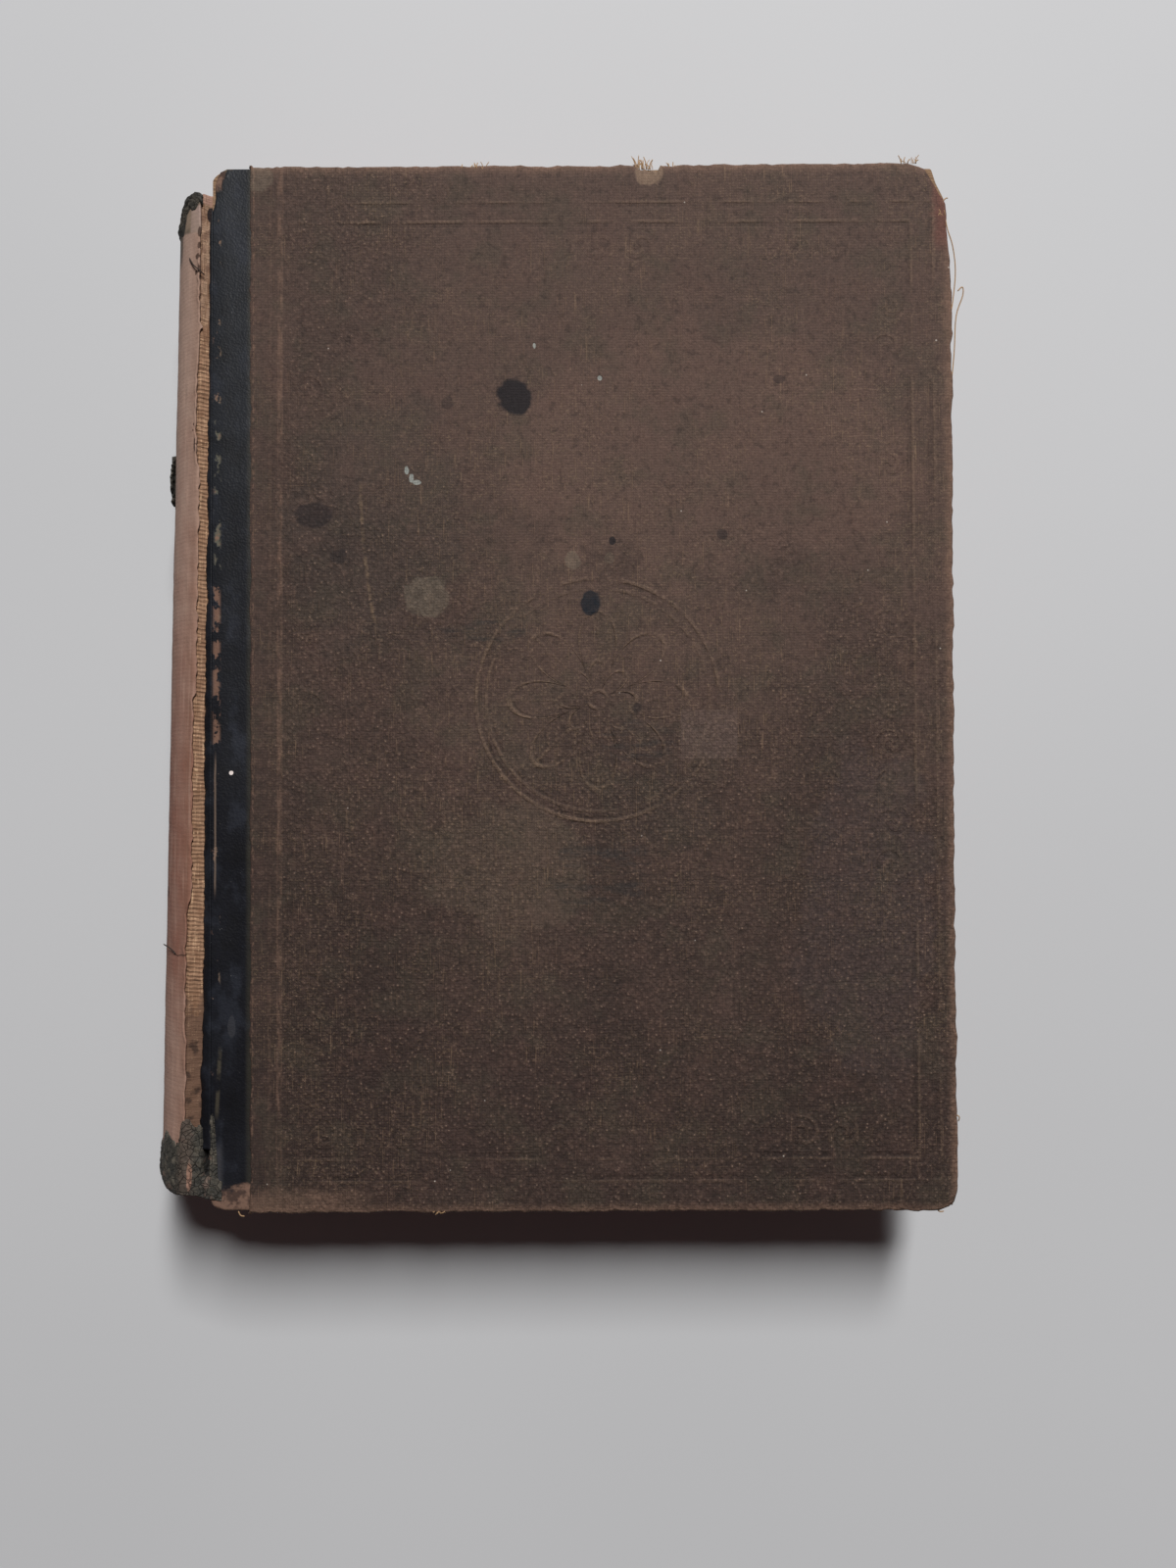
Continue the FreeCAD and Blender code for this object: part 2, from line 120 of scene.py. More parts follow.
class BookSizes(bpy.types.PropertyGroup):
    """Sizes of the pieces that dress the solids, in metres."""

    cloth_spacing: length("Cloth Spacing", "Distance between the cloth mesh's points", 1.0)
    corner: length("Corner", "Radius of the boards' worn corners", 3.5)
    arris: length("Arris", "Radius of the cloth over the boards' outer edges", 0.6)
    turn_in: length("Turn-in", "Cloth shown folded in round the pastedown", 5.0)
    strip_head: length("Strip at Head", "Bare strip beside the cloth at the head", 7.7)
    strip_tail: length("Strip at Tail", "Bare strip beside the cloth at the tail", 8.0)
    strip_width: length("Strip Width", "Whole width of the strip, its hidden part included", 12.8)
    warp_pitch: length("Warp Pitch", "Distance between the cloth's upright threads", 0.435)
    weft_pitch: length("Weft Pitch", "Distance between the cloth's cross threads", 0.5)
    mull_pitch: length("Mull Pitch", "Distance between the mull's threads", 0.8)
    medallion: length("Medallion", "Radius of the stamped ring", 23.2)


class BookColours(bpy.types.PropertyGroup):
    """Colours of the book's materials."""

    cloth: colour("Cloth", "Brown book cloth", 74, 59, 53)
    # Dirt and painted shade: the cloth darkens towards this colour at the tail, standing in for the light
    # falling off from head to tail
    cloth_dirt_and_shade: colour("Cloth in Dirt", "Book cloth where it has darkened", 47, 37, 34)
    cloth_worn: colour("Worn Threads", "Bare threads on the cloth's crowns", 122, 102, 80)
    cloth_edge: colour("Worn Edge", "Cloth rubbed bare at the edges", 116, 91, 77)
    ink: colour("Ink", "Ink spots", 24, 22, 26)
    strip: colour("Strip", "Blue-black leather-cloth", 20, 21, 26)
    strip_worn: colour("Worn Strip", "Leather-cloth rubbed to its backing", 116, 88, 74)
    lining: colour("Spine Lining", "Dusty pink lining", 156, 131, 118)
    lining_stain: colour("Lining Stain", "Glue and dirt on the lining", 127, 88, 75)
    mull: colour("Mull", "Coarse canvas in the joint", 152, 120, 96)
    covering: colour("Old Covering", "Grey-green remains of the spine covering", 52, 51, 47)
    board: colour("Board", "Binder's board", 142, 116, 92)
    paper: colour("Endpaper", "Aged endpaper", 206, 190, 160)
    page_edge: colour("Page Edges", "Red sprinkled page edges", 138, 54, 46)
    floor: colour("Floor", "Pale table", 177, 179, 182)


class BookLight(bpy.types.PropertyGroup):
    """The light: the lamp's power and the light from all round."""

    key_power: bpy.props.FloatProperty(name="Key", description="Power of the lamp", default=80.0, min=0)
    fill: bpy.props.FloatProperty(name="Fill", description="Light from all round", default=0.05, min=0)


class Signal:
    """A number over a surface: it wraps a node's output, and arithmetic on it adds Math nodes."""

    def __init__(self, finish, socket):
        self.finish, self.socket = finish, socket

    def math(self, operation, *values):
        return self.finish.node("Math", {"operation": operation}, dict(enumerate(values)))

    def of(self, operation):
        """A function of this number alone."""
        return self.math(operation, self)

    def __add__(self, other):
        return self.math("ADD", self, other)

    def __sub__(self, other):
        return self.math("SUBTRACT", self, other)

    def __rsub__(self, other):
        return self.math("SUBTRACT", other, self)

    def __mul__(self, other):
        return self.math("MULTIPLY", self, other)

    def __truediv__(self, other):
        return self.math("DIVIDE", self, other)

    def __pow__(self, other):
        return self.math("POWER", self, other)

    def __abs__(self):
        return self.of("ABSOLUTE")

    __radd__, __rmul__ = __add__, __mul__

    def most(self, other):
        return self.math("MAXIMUM", self, other)

    def least(self, other):
        return self.math("MINIMUM", self, other)

    def rise(self, low, high):
        """0 below low and 1 above high, smooth between; the other way round if low is above high."""
        if low > high:
            return 1 - self.rise(high, low)
        limits = {"Value": self, "From Min": low, "From Max": high}
        return self.finish.node("MapRange", {"interpolation_type": "SMOOTHSTEP"}, limits)

    def line(self, place, half_width):
        """1 along one value and 0 beyond half_width of it."""
        return abs(self - place).rise(half_width, half_width * 0.25)


class Finish:
    """A material with one Principled shader, and short ways to add what feeds it."""

    def __init__(self, name, coordinates="laid", **constants):
        self.material = bpy.data.materials.new(name)
        self.material.use_nodes = True
        self.tree = self.material.node_tree
        self.shader = self.tree.nodes["Principled BSDF"]
        self.base = None
        for socket, value in constants.items():
            self.shader.inputs[socket.replace("_", " ")].default_value = value
        if coordinates == "object":
            metres = self.node("TexCoord", out="Object")
            self.place = self.vector("SCALE", metres, Scale=1 / MM)
        else:
            self.place = self.node("Attribute", {"attribute_name": coordinates}, out="Vector")
        self.x, self.y, self.z = [self.node("SeparateXYZ", {}, {0: self.place}, out=i) for i in range(3)]

    def node(self, kind, settings=None, values=None, out=0):
        made = self.tree.nodes.new("ShaderNode" + kind)
        for key, value in (settings or {}).items():
            setattr(made, key, value)
        for key, value in (values or {}).items():
            if isinstance(value, Signal):
                self.tree.links.new(value.socket, made.inputs[key])
            else:
                made.inputs[key].default_value = value
        return Signal(self, made.outputs[out])

    def vector(self, operation, *values, **named):
        return self.node("VectorMath", {"operation": operation}, {**dict(enumerate(values)), **named})

    def noise(self, *sizes, detail=2.0, rough=0.5, shift=0.0):
        """Noise whose features have those sizes in millimetres along x, y and z."""
        sizes = sizes if len(sizes) > 1 else sizes * 3
        place = self.vector("MULTIPLY", self.place, tuple(1 / size for size in sizes))
        place = self.vector("ADD", place, (shift, shift * 0.7, shift * 1.3))
        values = {"Vector": place, "Scale": 1.0, "Detail": detail, "Roughness": rough}
        return self.node("TexNoise", {}, values)

    def mix(self, factor, first, second):
        """The first colour where factor is 0 and the second where it is 1."""
        sides = [tuple(side) + (1.0,) if not isinstance(side, Signal) else side for side in (first, second)]
        values = {0: factor, 6: sides[0], 7: sides[1]}
        return self.node("Mix", {"data_type": "RGBA", "clamp_factor": True}, values, out=2)

    def lay(self, factor, rgb):
        """Lays another colour over the one so far, where factor is above 0."""
        self.base = self.mix(factor, self.base, rgb)

    def shade(self, base, factor):
        """A colour made lighter or darker by a number that varies."""
        return self.vector("SCALE", base if isinstance(base, Signal) else tuple(base), Scale=factor)

    def blot(self, x, y, across, up, ragged=0.35, wobble=None):
        """1 inside an oval spot at x, y with a ragged outline, and 0 outside it."""
        far = (((self.x - x) / across) ** 2.0 + ((self.y - y) / up) ** 2.0) ** 0.5
        if wobble is not None:
            far = far + (wobble - 0.5) * ragged * 2
        return far.rise(1.08, 0.86)

    def cells(self, feature, scale, **values):
        """Distances in a pattern of cells, as many to a millimetre as scale says."""
        return self.node("TexVoronoi", {"feature": feature}, {"Vector": self.place, "Scale": scale, **values})

    def wave(self, phase):
        """A wave between 0 and 1."""
        return phase.of("SINE") * 0.5 + 0.5

    def finish(self, base, height=None, depth=0.05, **varying):
        """The material, with what feeds its colour, its bump and other sockets."""
        self.feed("Base Color", base)
        for socket, value in varying.items():
            self.feed(socket.replace("_", " "), value)
        if height is not None:
            bump = self.node("Bump", {}, {"Strength": 1.0, "Distance": depth * MM, "Height": height})
            self.feed("Normal", bump)
        return self.material

    def feed(self, socket, value):
        if isinstance(value, Signal):
            self.tree.links.new(value.socket, self.shader.inputs[socket])
        else:
            self.shader.inputs[socket].default_value = value


def highest(signals):
    """The highest of several numbers over a surface."""
    return functools.reduce(Signal.most, signals)


def wander(x, y, span, seed, waves=9):
    """Smooth random values about 0: a sum of sine waves of about that span, with random turns and phases."""
    rng = np.random.default_rng(seed)
    turn, phase = rng.uniform(0, 2 * np.pi, (2, waves))
    pitch = 2 * np.pi / (span * rng.uniform(0.6, 1.7, waves))
    x, y = np.broadcast_arrays(np.asarray(x, float), np.asarray(y, float))
    along = x[..., None] * np.cos(turn) * pitch + y[..., None] * np.sin(turn) * pitch
    return np.sin(along + phase).sum(-1) / math.sqrt(waves)


def smooth(value, low, high):
    """0 below low, 1 above high and a smooth step between."""
    part = np.clip((value - low) / (high - low), 0, 1)
    return part * part * (3 - 2 * part)


def stacked(x, y, z):
    """Points from three coordinates, each given along the rows, the columns or both."""
    return np.stack(np.broadcast_arrays(x, y, z), -1)


def grid_faces(rows, columns, start=0, closed=False):
    """Faces between neighbours on a grid of points; closed joins the last column to the first."""
    index = start + np.arange(rows * columns).reshape(rows, columns)
    if closed:
        index = np.concatenate([index, index[:, :1]], 1)
    corners = [index[:-1, :-1], index[:-1, 1:], index[1:, 1:], index[1:, :-1]]
    return np.stack(corners, -1).reshape(-1, 4)


def make_mesh(name, points, faces, laid, material):
    """An object at the origin from points in millimetres, with each point's place on the flat sheet."""
    mesh = bpy.data.meshes.new(name)
    mesh.vertices.add(len(points))
    mesh.vertices.foreach_set("co", (points * MM).astype(np.float32).ravel())
    mesh.loops.add(faces.size)
    mesh.loops.foreach_set("vertex_index", faces.astype(np.int32).ravel())
    mesh.polygons.add(len(faces))
    mesh.polygons.foreach_set("loop_start", np.arange(0, faces.size, 4, dtype=np.int32))
    mesh.update(calc_edges=True)
    mesh.polygons.foreach_set("use_smooth", np.ones(len(faces), bool))
    mesh.attributes.new("laid", "FLOAT_VECTOR", "POINT").data.foreach_set(
        "vector", laid.astype(np.float32).ravel()
    )
    bm = bmesh.new()
    bm.from_mesh(mesh)
    bmesh.ops.remove_doubles(bm, verts=bm.verts, dist=1e-7)
    bmesh.ops.recalc_face_normals(bm, faces=bm.faces)
    bm.to_mesh(mesh)
    bm.free()
    made = bpy.data.objects.new(name, mesh)
    bpy.context.scene.collection.objects.link(made)
    made.data.materials.append(material)
    return made


def outward(points):
    """Unit normals of a grid of points: the cross product of its two directions."""
    across = np.gradient(points, axis=0)
    along = np.gradient(points, axis=1)
    normal = np.cross(along, across)
    return normal / np.maximum(np.linalg.norm(normal, axis=-1, keepdims=True), 1e-9)


def sheet(name, points, laid, thickness, material, side=1.0):
    """A closed sheet: a grid of points, the same grid moved in along its normals, and a rim between them."""
    rows, columns = points.shape[:2]
    thick = np.broadcast_to(thickness, (rows, columns))[..., None]
    under = points - outward(points) * thick * side
    count = rows * columns
    top = grid_faces(rows, columns)
    index = np.arange(count).reshape(rows, columns)
    border = [index[0, :-1], index[:-1, -1], index[-1, :0:-1], index[:0:-1, 0]]
    ring = np.concatenate(border)
    following = np.roll(ring, -1)
    rim = np.stack([ring, ring + count, following + count, following], -1)
    faces = np.concatenate([top, top[:, ::-1] + count, rim])
    everything = np.concatenate([points.reshape(-1, 3), under.reshape(-1, 3)])
    return make_mesh(name, everything, faces, np.concatenate([laid.reshape(-1, 3)] * 2), material)


def tube(name, path, radius, material, sides=6):
    """A thread: a ring of points carried along a path, closed by a point at each end."""
    path = np.asarray(path, float)
    steps = np.linspace(0, len(path) - 1, (len(path) - 1) * 5 + 1)
    line = np.stack([catmull(path[:, i], steps) for i in range(3)], -1)
    along = np.gradient(line, axis=0)
    along /= np.linalg.norm(along, axis=1, keepdims=True)
    first = np.cross(along, [0.13, 0.21, 0.97])
    first /= np.linalg.norm(first, axis=1, keepdims=True)
    second = np.cross(along, first)
    turn = np.linspace(0, 2 * np.pi, sides, endpoint=False)
    size = np.full(len(line), radius)
    size[[0, -1]] = 0
    ring = first[:, None] * np.cos(turn)[:, None] + second[:, None] * np.sin(turn)[:, None]
    points = line[:, None] + ring * size[:, None, None]
    faces = grid_faces(len(line), sides, closed=True)
    return make_mesh(name, points.reshape(-1, 3), faces, points.reshape(-1, 3), material)


def catmull(values, steps):
    """Values at fractions between the given ones, on a smooth curve that passes through them all."""
    padded = np.concatenate([[2 * values[0] - values[1]], values, [2 * values[-1] - values[-2]]])
    at = np.minimum(steps.astype(int), len(values) - 2)
    part = steps - at
    a, b, c, d = padded[at], padded[at + 1], padded[at + 2], padded[at + 3]
    return 0.5 * (
        2 * b + (c - a) * part + (2 * a - 5 * b + 4 * c - d) * part**2 + (3 * b - a - 3 * c + d) * part**3
    )


def edge_outline(corner, arris, top, bottom, inner, turn_in):
    """A section over a plate's edge: distance along the sheet, distance out from the core, and height."""
    turn = np.linspace(0, np.pi / 2, 6)
    over = [corner - arris + arris * np.sin(turn), top - arris + arris * np.cos(turn)]
    under = [corner - inner + inner * np.cos(turn), bottom + inner - inner * np.sin(turn)]
    out = np.concatenate([[0], over[0], np.full(3, corner), under[0], [corner - turn_in]])
    walls = np.linspace(over[1][-1], under[1][0], 5)[1:-1]
    height = np.concatenate([[top], over[1], walls, under[1], [bottom]])
    along = np.concatenate([[0], np.cumsum(np.hypot(np.diff(out), np.diff(height)))])
    return along, out, height


def fold(x, y, low, high, half, corner, outline):
    """Where a flat sheet's points come when it is folded over a plate: the part past the core keeps its
    direction, with a square turned to a quarter circle at each corner, and follows the outline."""
    core_x = np.clip(x, low, high)
    core_y = np.clip(y, -(half - corner), half - corner)
    across, up = x - core_x, y - core_y
    reach = np.maximum(abs(across), abs(up))
    ratio = np.minimum(abs(across), abs(up)) / np.maximum(reach, 1e-9)
    turn = np.where(abs(across) >= abs(up), ratio, 2 - ratio) * np.pi / 4
    out = np.interp(reach, outline[0], outline[1])
    height = np.interp(reach, outline[0], outline[2])
    return (
        core_x + np.sign(across) * np.cos(turn) * out,
        core_y + np.sign(up) * np.sin(turn) * out,
        height,
    )


def place_cover(x, y, height, front):
    """Points from a cover's own plane, heights up from its inner face, to the closed book."""
    if not front:
        return np.stack([x, y, COVER - height], -1)
    turned_x = x * math.cos(SKEW) - y * math.sin(SKEW)
    turned_y = x * math.sin(SKEW) + y * math.cos(SKEW)
    return np.stack([turned_x, turned_y, FRONT_INNER + height], -1)


def cover_skin(kind, front, flat, plan, material):
    """A sheet on a cover, from its points' places on the flat sheet and their places in the cover's plane."""
    name = f"front_{kind}" if front else f"back_{kind}"
    return sheet(name, place_cover(*plan, front), np.stack(flat, -1), SKIN, material, 1 if front else -1)


def front_edge(y):
    """Where the skewed front cover's spine edge stands at a height y of the book."""
    return SPINE_EDGE / math.cos(SKEW) - y * math.tan(SKEW)


# Outlines read along the book, in millimetres: how far the strip's torn edge hangs past the board, and how
# far the lining's edge lies past the shoulder's tip
TORN_STRIP = (
    [-88, -74, -63, -39, -3, -1.5, 15, 18, 22, 30, 37, 50, 56, 92],
    [1.7, 1.5, 1.1, 1.0, 0.95, 0.75, 0.75, 0.4, 0.85, 0.3, 0.55, 0.3, 0.15, 0.12],
)
LINING_EDGE = (
    [-96, -88, -86, -70, -67, -45, -41, -3.6, -2.2, 33, 41.2]
    + [42.4, 47, 48.5, 49.4, 55, 59, 64, 67.6, 68.4, 69, 87],
    [0.6, 0.6, 0.3, 0.3, -0.3, -0.3, 0.9, 0.35, 0.95, 0.85, 0.8]
    + [0.05, 0, -0.6, -0.4, -0.25, -0.25, 0.05, 0.4, 0.9, 0.25, -0.1],
)

# The front cloth's broken corner, as where its fore-edge lies at each height, and the chip in its head edge
BREAK_Y = [79.0, 83.0, 86.0, 93.0, 95.5, 98.6, 100.2]
BREAK_X = [71.0, 70.7, 70.4, 70.0, 68.8, 67.4, 66.2]
CHIP_X, CHIP_HALF, CHIP_DEPTH = 13.6, 2.3, 1.1


def damage(x, y):
    """How far the front cloth's edge has gone in from the plate's edge, along x and along y."""
    lost_x = FORE_EDGE - np.interp(y, BREAK_Y, BREAK_X) + 0.12 * abs(wander(y, 0, 2.2, 5)) * (y > 80)
    lost_y = CHIP_DEPTH * smooth(-abs(x - CHIP_X) - 0.3 * wander(x, 0, 1.1, 6), -CHIP_HALF, -CHIP_HALF + 0.7)
    return lost_x, lost_y * (1 + 0.12 * wander(x, 0, 1.3, 8))


def cloth_sheet(sizes, front, material):
    """Cloth over a board: stations across and along, folded over the edges, with dents and wear."""
    spacing, corner = sizes.cloth_spacing / MM, sizes.corner / MM
    inner = COVER - BOARD_INNER - BOARD - PASTEDOWN
    outline = edge_outline(corner, sizes.arris / MM, COVER, inner, INNER_ARRIS, sizes.turn_in / MM)
    past = np.concatenate([outline[0][1:-1], np.linspace(outline[0][-2], outline[0][-1], 5)[1:]])
    high, core_y = FORE_EDGE - corner, HALF_HEIGHT - corner
    ridge = SPINE_EDGE + sizes.strip_width / MM
    start = SPINE_EDGE + sizes.strip_head / MM
    rim = [0, 0, 0.12, 0.3]
    near = np.arange(ridge - start - 1, ridge - start + 1.6, 0.32)
    rest = np.linspace(near[-1], high - start, int((high - start - near[-1]) / spacing))
    offset = np.concatenate([np.arange(0.9, ridge - start - 1, 0.8), near, rest[1:], high - start + past])
    if front:
        chip = np.arange(CHIP_X - 4.5, CHIP_X + 4.5, 0.3) - start
        offset = np.unique(np.concatenate([offset, chip]).round(3))
    offset = np.concatenate([rim, offset])
    rows = np.linspace(-core_y, core_y, int(2 * core_y / spacing) + 1)
    y = np.concatenate([-core_y - past[::-1], rows, core_y + past])
    y, offset = np.meshgrid(y, offset, indexing="ij")
    shown = np.interp(y, [-HALF_HEIGHT, HALF_HEIGHT], [sizes.strip_tail / MM, sizes.strip_head / MM])
    begins = SPINE_EDGE + shown + 0.12 * wander(0, y, 7, 11) + 0.08 * wander(0, y, 1.7, 12)
    x = begins + offset + (start - begins) * smooth(offset, 0, 4)
    plan_x, plan_y, height = fold(x, y, -FAR, high, HALF_HEIGHT, corner, outline)
    on_top = smooth(height, COVER - 1.0, COVER - 0.2)
    if front:
        lost_x, lost_y = damage(plan_x, plan_y)
        pull_x = lost_x * smooth(x, 50, FORE_EDGE)
        pull_y = lost_y * smooth(y, HALF_HEIGHT - 9, HALF_HEIGHT - 0.5)
        plan_x, plan_y, x, y = plan_x - pull_x, plan_y - pull_y, x - pull_x, y - pull_y
    seed = 20 if front else 40
    ragged = 0.11 * wander(x, y, 9, seed) + 0.09 * wander(x, y, 2.5, seed + 1)
    ragged = ragged + 0.06 * wander(x, y, 1.1, seed + 5)
    fore = smooth(x, high, FORE_EDGE - 0.4)
    ends = smooth(abs(y), core_y, HALF_HEIGHT - 0.4)
    plan_x = plan_x + ragged * fore
    plan_y = plan_y + ragged * ends * np.sign(y)
    if front:
        plan_x = plan_x + 0.5 * fore * smooth(y, -40, 60)
        plan_y = plan_y + (0.25 + 0.3 * smooth(x, 10, 60)) * ends * (y > 0)
    height = height + on_top * (
        0.05 * wander(x, y, 70, seed + 2)
        + 0.02 * wander(x, y, 9, seed + 3)
        + 0.10 * np.exp(-(((x - ridge) / 0.65) ** 2))
        - 0.10
    )
    height[:, 0] = COVER - CLOTH - 0.04
    height[:, 1] = COVER - 0.22
    height[:, 2] -= 0.08
    height[(abs(y) > HALF_HEIGHT - 0.9) & (offset < 0.2)] -= 0.2
    return cover_skin("cloth_skin", front, (x, y, height), (plan_x, plan_y, height), material)


def strip_sheet(sizes, front, material):
    """The strip over a board's spine edge, folded as the cloth is, and in by the cloth's thickness."""
    corner = sizes.corner / MM - CLOTH
    half = HALF_HEIGHT - CLOTH
    top = COVER - CLOTH
    outline = edge_outline(corner, 0.55, top, BOARD_INNER, INNER_ARRIS, 4.6)
    past = np.concatenate([outline[0][1:-1], np.linspace(outline[0][-2], outline[0][-1], 4)[1:]])
    low = SPINE_EDGE + corner
    edge = past[: len(outline[0]) - 2]
    x = np.concatenate([low - edge[::-1], np.arange(low, SPINE_EDGE + sizes.strip_width / MM, 0.6)])
    rows = np.linspace(-(half - corner), half - corner, 240)
    y = np.concatenate([-(half - corner) - past[::-1], rows, half - corner + past])
    y, x = np.meshgrid(y, x, indexing="ij")
    plan_x, plan_y, height = fold(x, y, low, FAR, half, corner, outline)
    seed = 60 if front else 70
    on_top = smooth(height, top - 0.9, top - 0.1)
    plan_x = plan_x + 0.05 * wander(x, y, 6, seed) * smooth(-x, -low, -SPINE_EDGE)
    height = height + on_top * (0.03 * wander(x, y, 8, seed + 1) - 0.03)
    if front:
        plan_x = plan_x + 0.85 * smooth(y, 89.4, 94.2) * smooth(-plan_x, 69.0, 70.2)
        plan_y = plan_y + 0.45 * smooth(plan_y, 80, 98)
    return cover_skin("strip_skin", front, (x, y, height), (plan_x, plan_y, height), material)


def strip_flap(material):
    """The strip's torn edge over the front joint: rows down from the board's arris, as wide as torn."""
    y = np.linspace(-88, 91.8, 410)
    width = np.interp(y, *TORN_STRIP) - 0.75 * smooth(y, 89.2, 91.6)
    ragged = 0.10 * wander(y, 0, 6, 81) + 0.09 * wander(y, 0, 1.5, 82)
    width = np.maximum(width + ragged, 0.12 - 0.5 * smooth(y, 89.2, 91.6))
    part = np.linspace(0, 1, 8)[None, :]
    y, width = y[:, None], width[:, None]
    x = SPINE_EDGE + 0.5 - (0.5 + width) * part
    drop = 0.05 + 1.0 * part**1.6 * (0.6 + 0.4 * width / 1.5)
    height = COVER - CLOTH + 0.05 - drop + 0.08 * part * wander(x, y, 4, 83)
    x, y, height = np.broadcast_arrays(x, y, height)
    points = place_cover(x, y, height, True)
    return sheet("front_strip_torn_edge", points, stacked(x, y, height), 0.22, material)


def round_spine(arc, offset, y):
    """Points at an arc length round the spine, counted on the lining from the middle of its back, and at an
    offset from the pages: a circle as far as a shoulder's tip, then a small circle over that tip."""
    arc, offset, y = np.broadcast_arrays(np.asarray(arc, float), offset, y)
    angle = np.clip(arc / LINED, -TIP_ANGLE, TIP_ANGLE)
    turn = angle + (arc - angle * LINED) / (LINED - SPINE_RADIUS)
    x = SPINE_X - SPINE_RADIUS * np.cos(angle) - offset * np.cos(turn)
    z = MIDDLE_Z + SPINE_RADIUS * np.sin(angle) + offset * np.sin(turn)
    return np.stack([x, y, z], -1)


def lining_sheet(material):
    """The pink lining round the spine and over its front shoulder, with a torn edge and small swells."""
    half = BLOCK_HALF - 0.6
    y = np.linspace(-half, half, 360)[:, None] + BLOCK_Y
    part = np.concatenate([np.linspace(0, 0.9, 70), np.linspace(0.9, 1, 22)[1:]])[None, :]
    torn = np.interp(y, *LINING_EDGE) + 0.12 * wander(0, y, 4, 91) + 0.08 * wander(0, y, 1.1, 92)
    low = -TIP_ARC - 0.2 + 0.15 * wander(0, y, 11, 93)
    arc = low + (TIP_ARC + torn - low) * part
    lift = 0.16 * smooth(part, 0.975, 1) * abs(wander(0, y, 5, 94))
    swell = 0.04 * wander(arc, y, 24, 95) + 0.02 * wander(arc, y, 3, 96)
    worn_end = smooth(abs(y - BLOCK_Y), half - 1.2, half)
    points = round_spine(arc, LINING_OUT + lift + swell - 0.25 * worn_end, y)
    return sheet("spine_lining_skin", points, stacked(arc, y, 0), 0.4, material)


def joint_path(y, front, start_angle, edge_height):
    """Sections of what crosses a joint: round the spine, over the shoulder's tip, to the board."""
    angles = np.linspace(start_angle, TIP_ANGLE, 9)
    turns = np.linspace(TIP_ANGLE, math.radians(112), 5)[1:]
    x = [*(SPINE_X - (SPINE_RADIUS + MULL_OUT) * np.cos(angles)), *(TIP_X - MULL_OUT * np.cos(turns))]
    z = [
        *(MIDDLE_Z + (SPINE_RADIUS + MULL_OUT) * np.sin(angles)),
        *(MIDDLE_Z + TIP_RISE + MULL_OUT * np.sin(turns)),
    ]
    edge = front_edge(y) if front else np.full_like(y, SPINE_EDGE)
    part = np.linspace(0, 1, 10)[1:]
    across = x[-1] + (edge[:, None] + 0.25 - x[-1]) * part
    up = z[-1] + (edge_height - z[-1]) * part - 0.35 * np.sin(np.pi * part)
    x = np.concatenate([np.broadcast_to(x, (len(y), len(x))), across], 1)
    z = np.broadcast_to([*z, *up], x.shape)
    if not front:
        z = 2 * MIDDLE_Z - z
    return x, z


def mull_sheet(front, material):
    """Canvas over a joint, from under the lining to the board's edge."""
    y = np.linspace(-(BLOCK_HALF - 1), BLOCK_HALF + 0.05, 420) + BLOCK_Y
    x, z = joint_path(y, front, TIP_ANGLE - 0.16, FRONT_INNER + 1.1)
    points = stacked(x, y[:, None], z)
    steps = np.linalg.norm(np.diff(points, axis=1), axis=-1)
    along = np.concatenate([np.zeros((len(y), 1)), np.cumsum(steps, 1)], 1)
    seed = 101 if front else 111
    points = points + outward(points) * (0.07 * wander(along, points[..., 1], 2.5, seed))[..., None]
    name = "front_joint_mull" if front else "back_joint_mull"
    return sheet(name, points, stacked(along, points[..., 1], 0), SKIN, material, 1 if front else -1)


def far_mull(material):
    """Canvas round the spine under the lining, seen past the lining's ends and torn edge."""
    y = np.linspace(-(BLOCK_HALF - 1), BLOCK_HALF - 1, 60)[:, None] + BLOCK_Y
    arc = np.linspace(-TIP_ARC + 1.5, TIP_ARC - 1.5, 50)[None, :]
    return sheet("spine_mull_skin", round_spine(arc, 0.38, y), stacked(arc, y, 0), SKIN, material)


HEAD_CAP = (
    # arc round the spine, where the fold over the end lies, and where the torn edge lies
    [-12.5, 0, 7, 8, 9.4, 10.4, 11.2, 12.5, 14.3, 15.4, 16.1],
    [90.5, 91, 91.2, 91.9, 93.4, 94.1, 94.5, 94.8, 94.9, 94.5, 93.9],
    [89.9, 89.6, 89.2, 88.4, 87.9, 89.4, 91.2, 92.0, 91.8, 92.0, 91.6],
)
TAIL_CAP = (
    [-13, 0, 6.6, 8, 9.4, 10.6, 12.6, 14.2, 15.4, 16.0, 16.8],
    [94, 94.6, 95.2, 96.4, 97.3, 97.6, 98.0, 98.2, 98.0, 97.8, 97.8],
    [90.0, 90.0, 89.6, 88.6, 87.6, 86.8, 88.0, 88.8, 88.6, 88.4, 88.4],
)


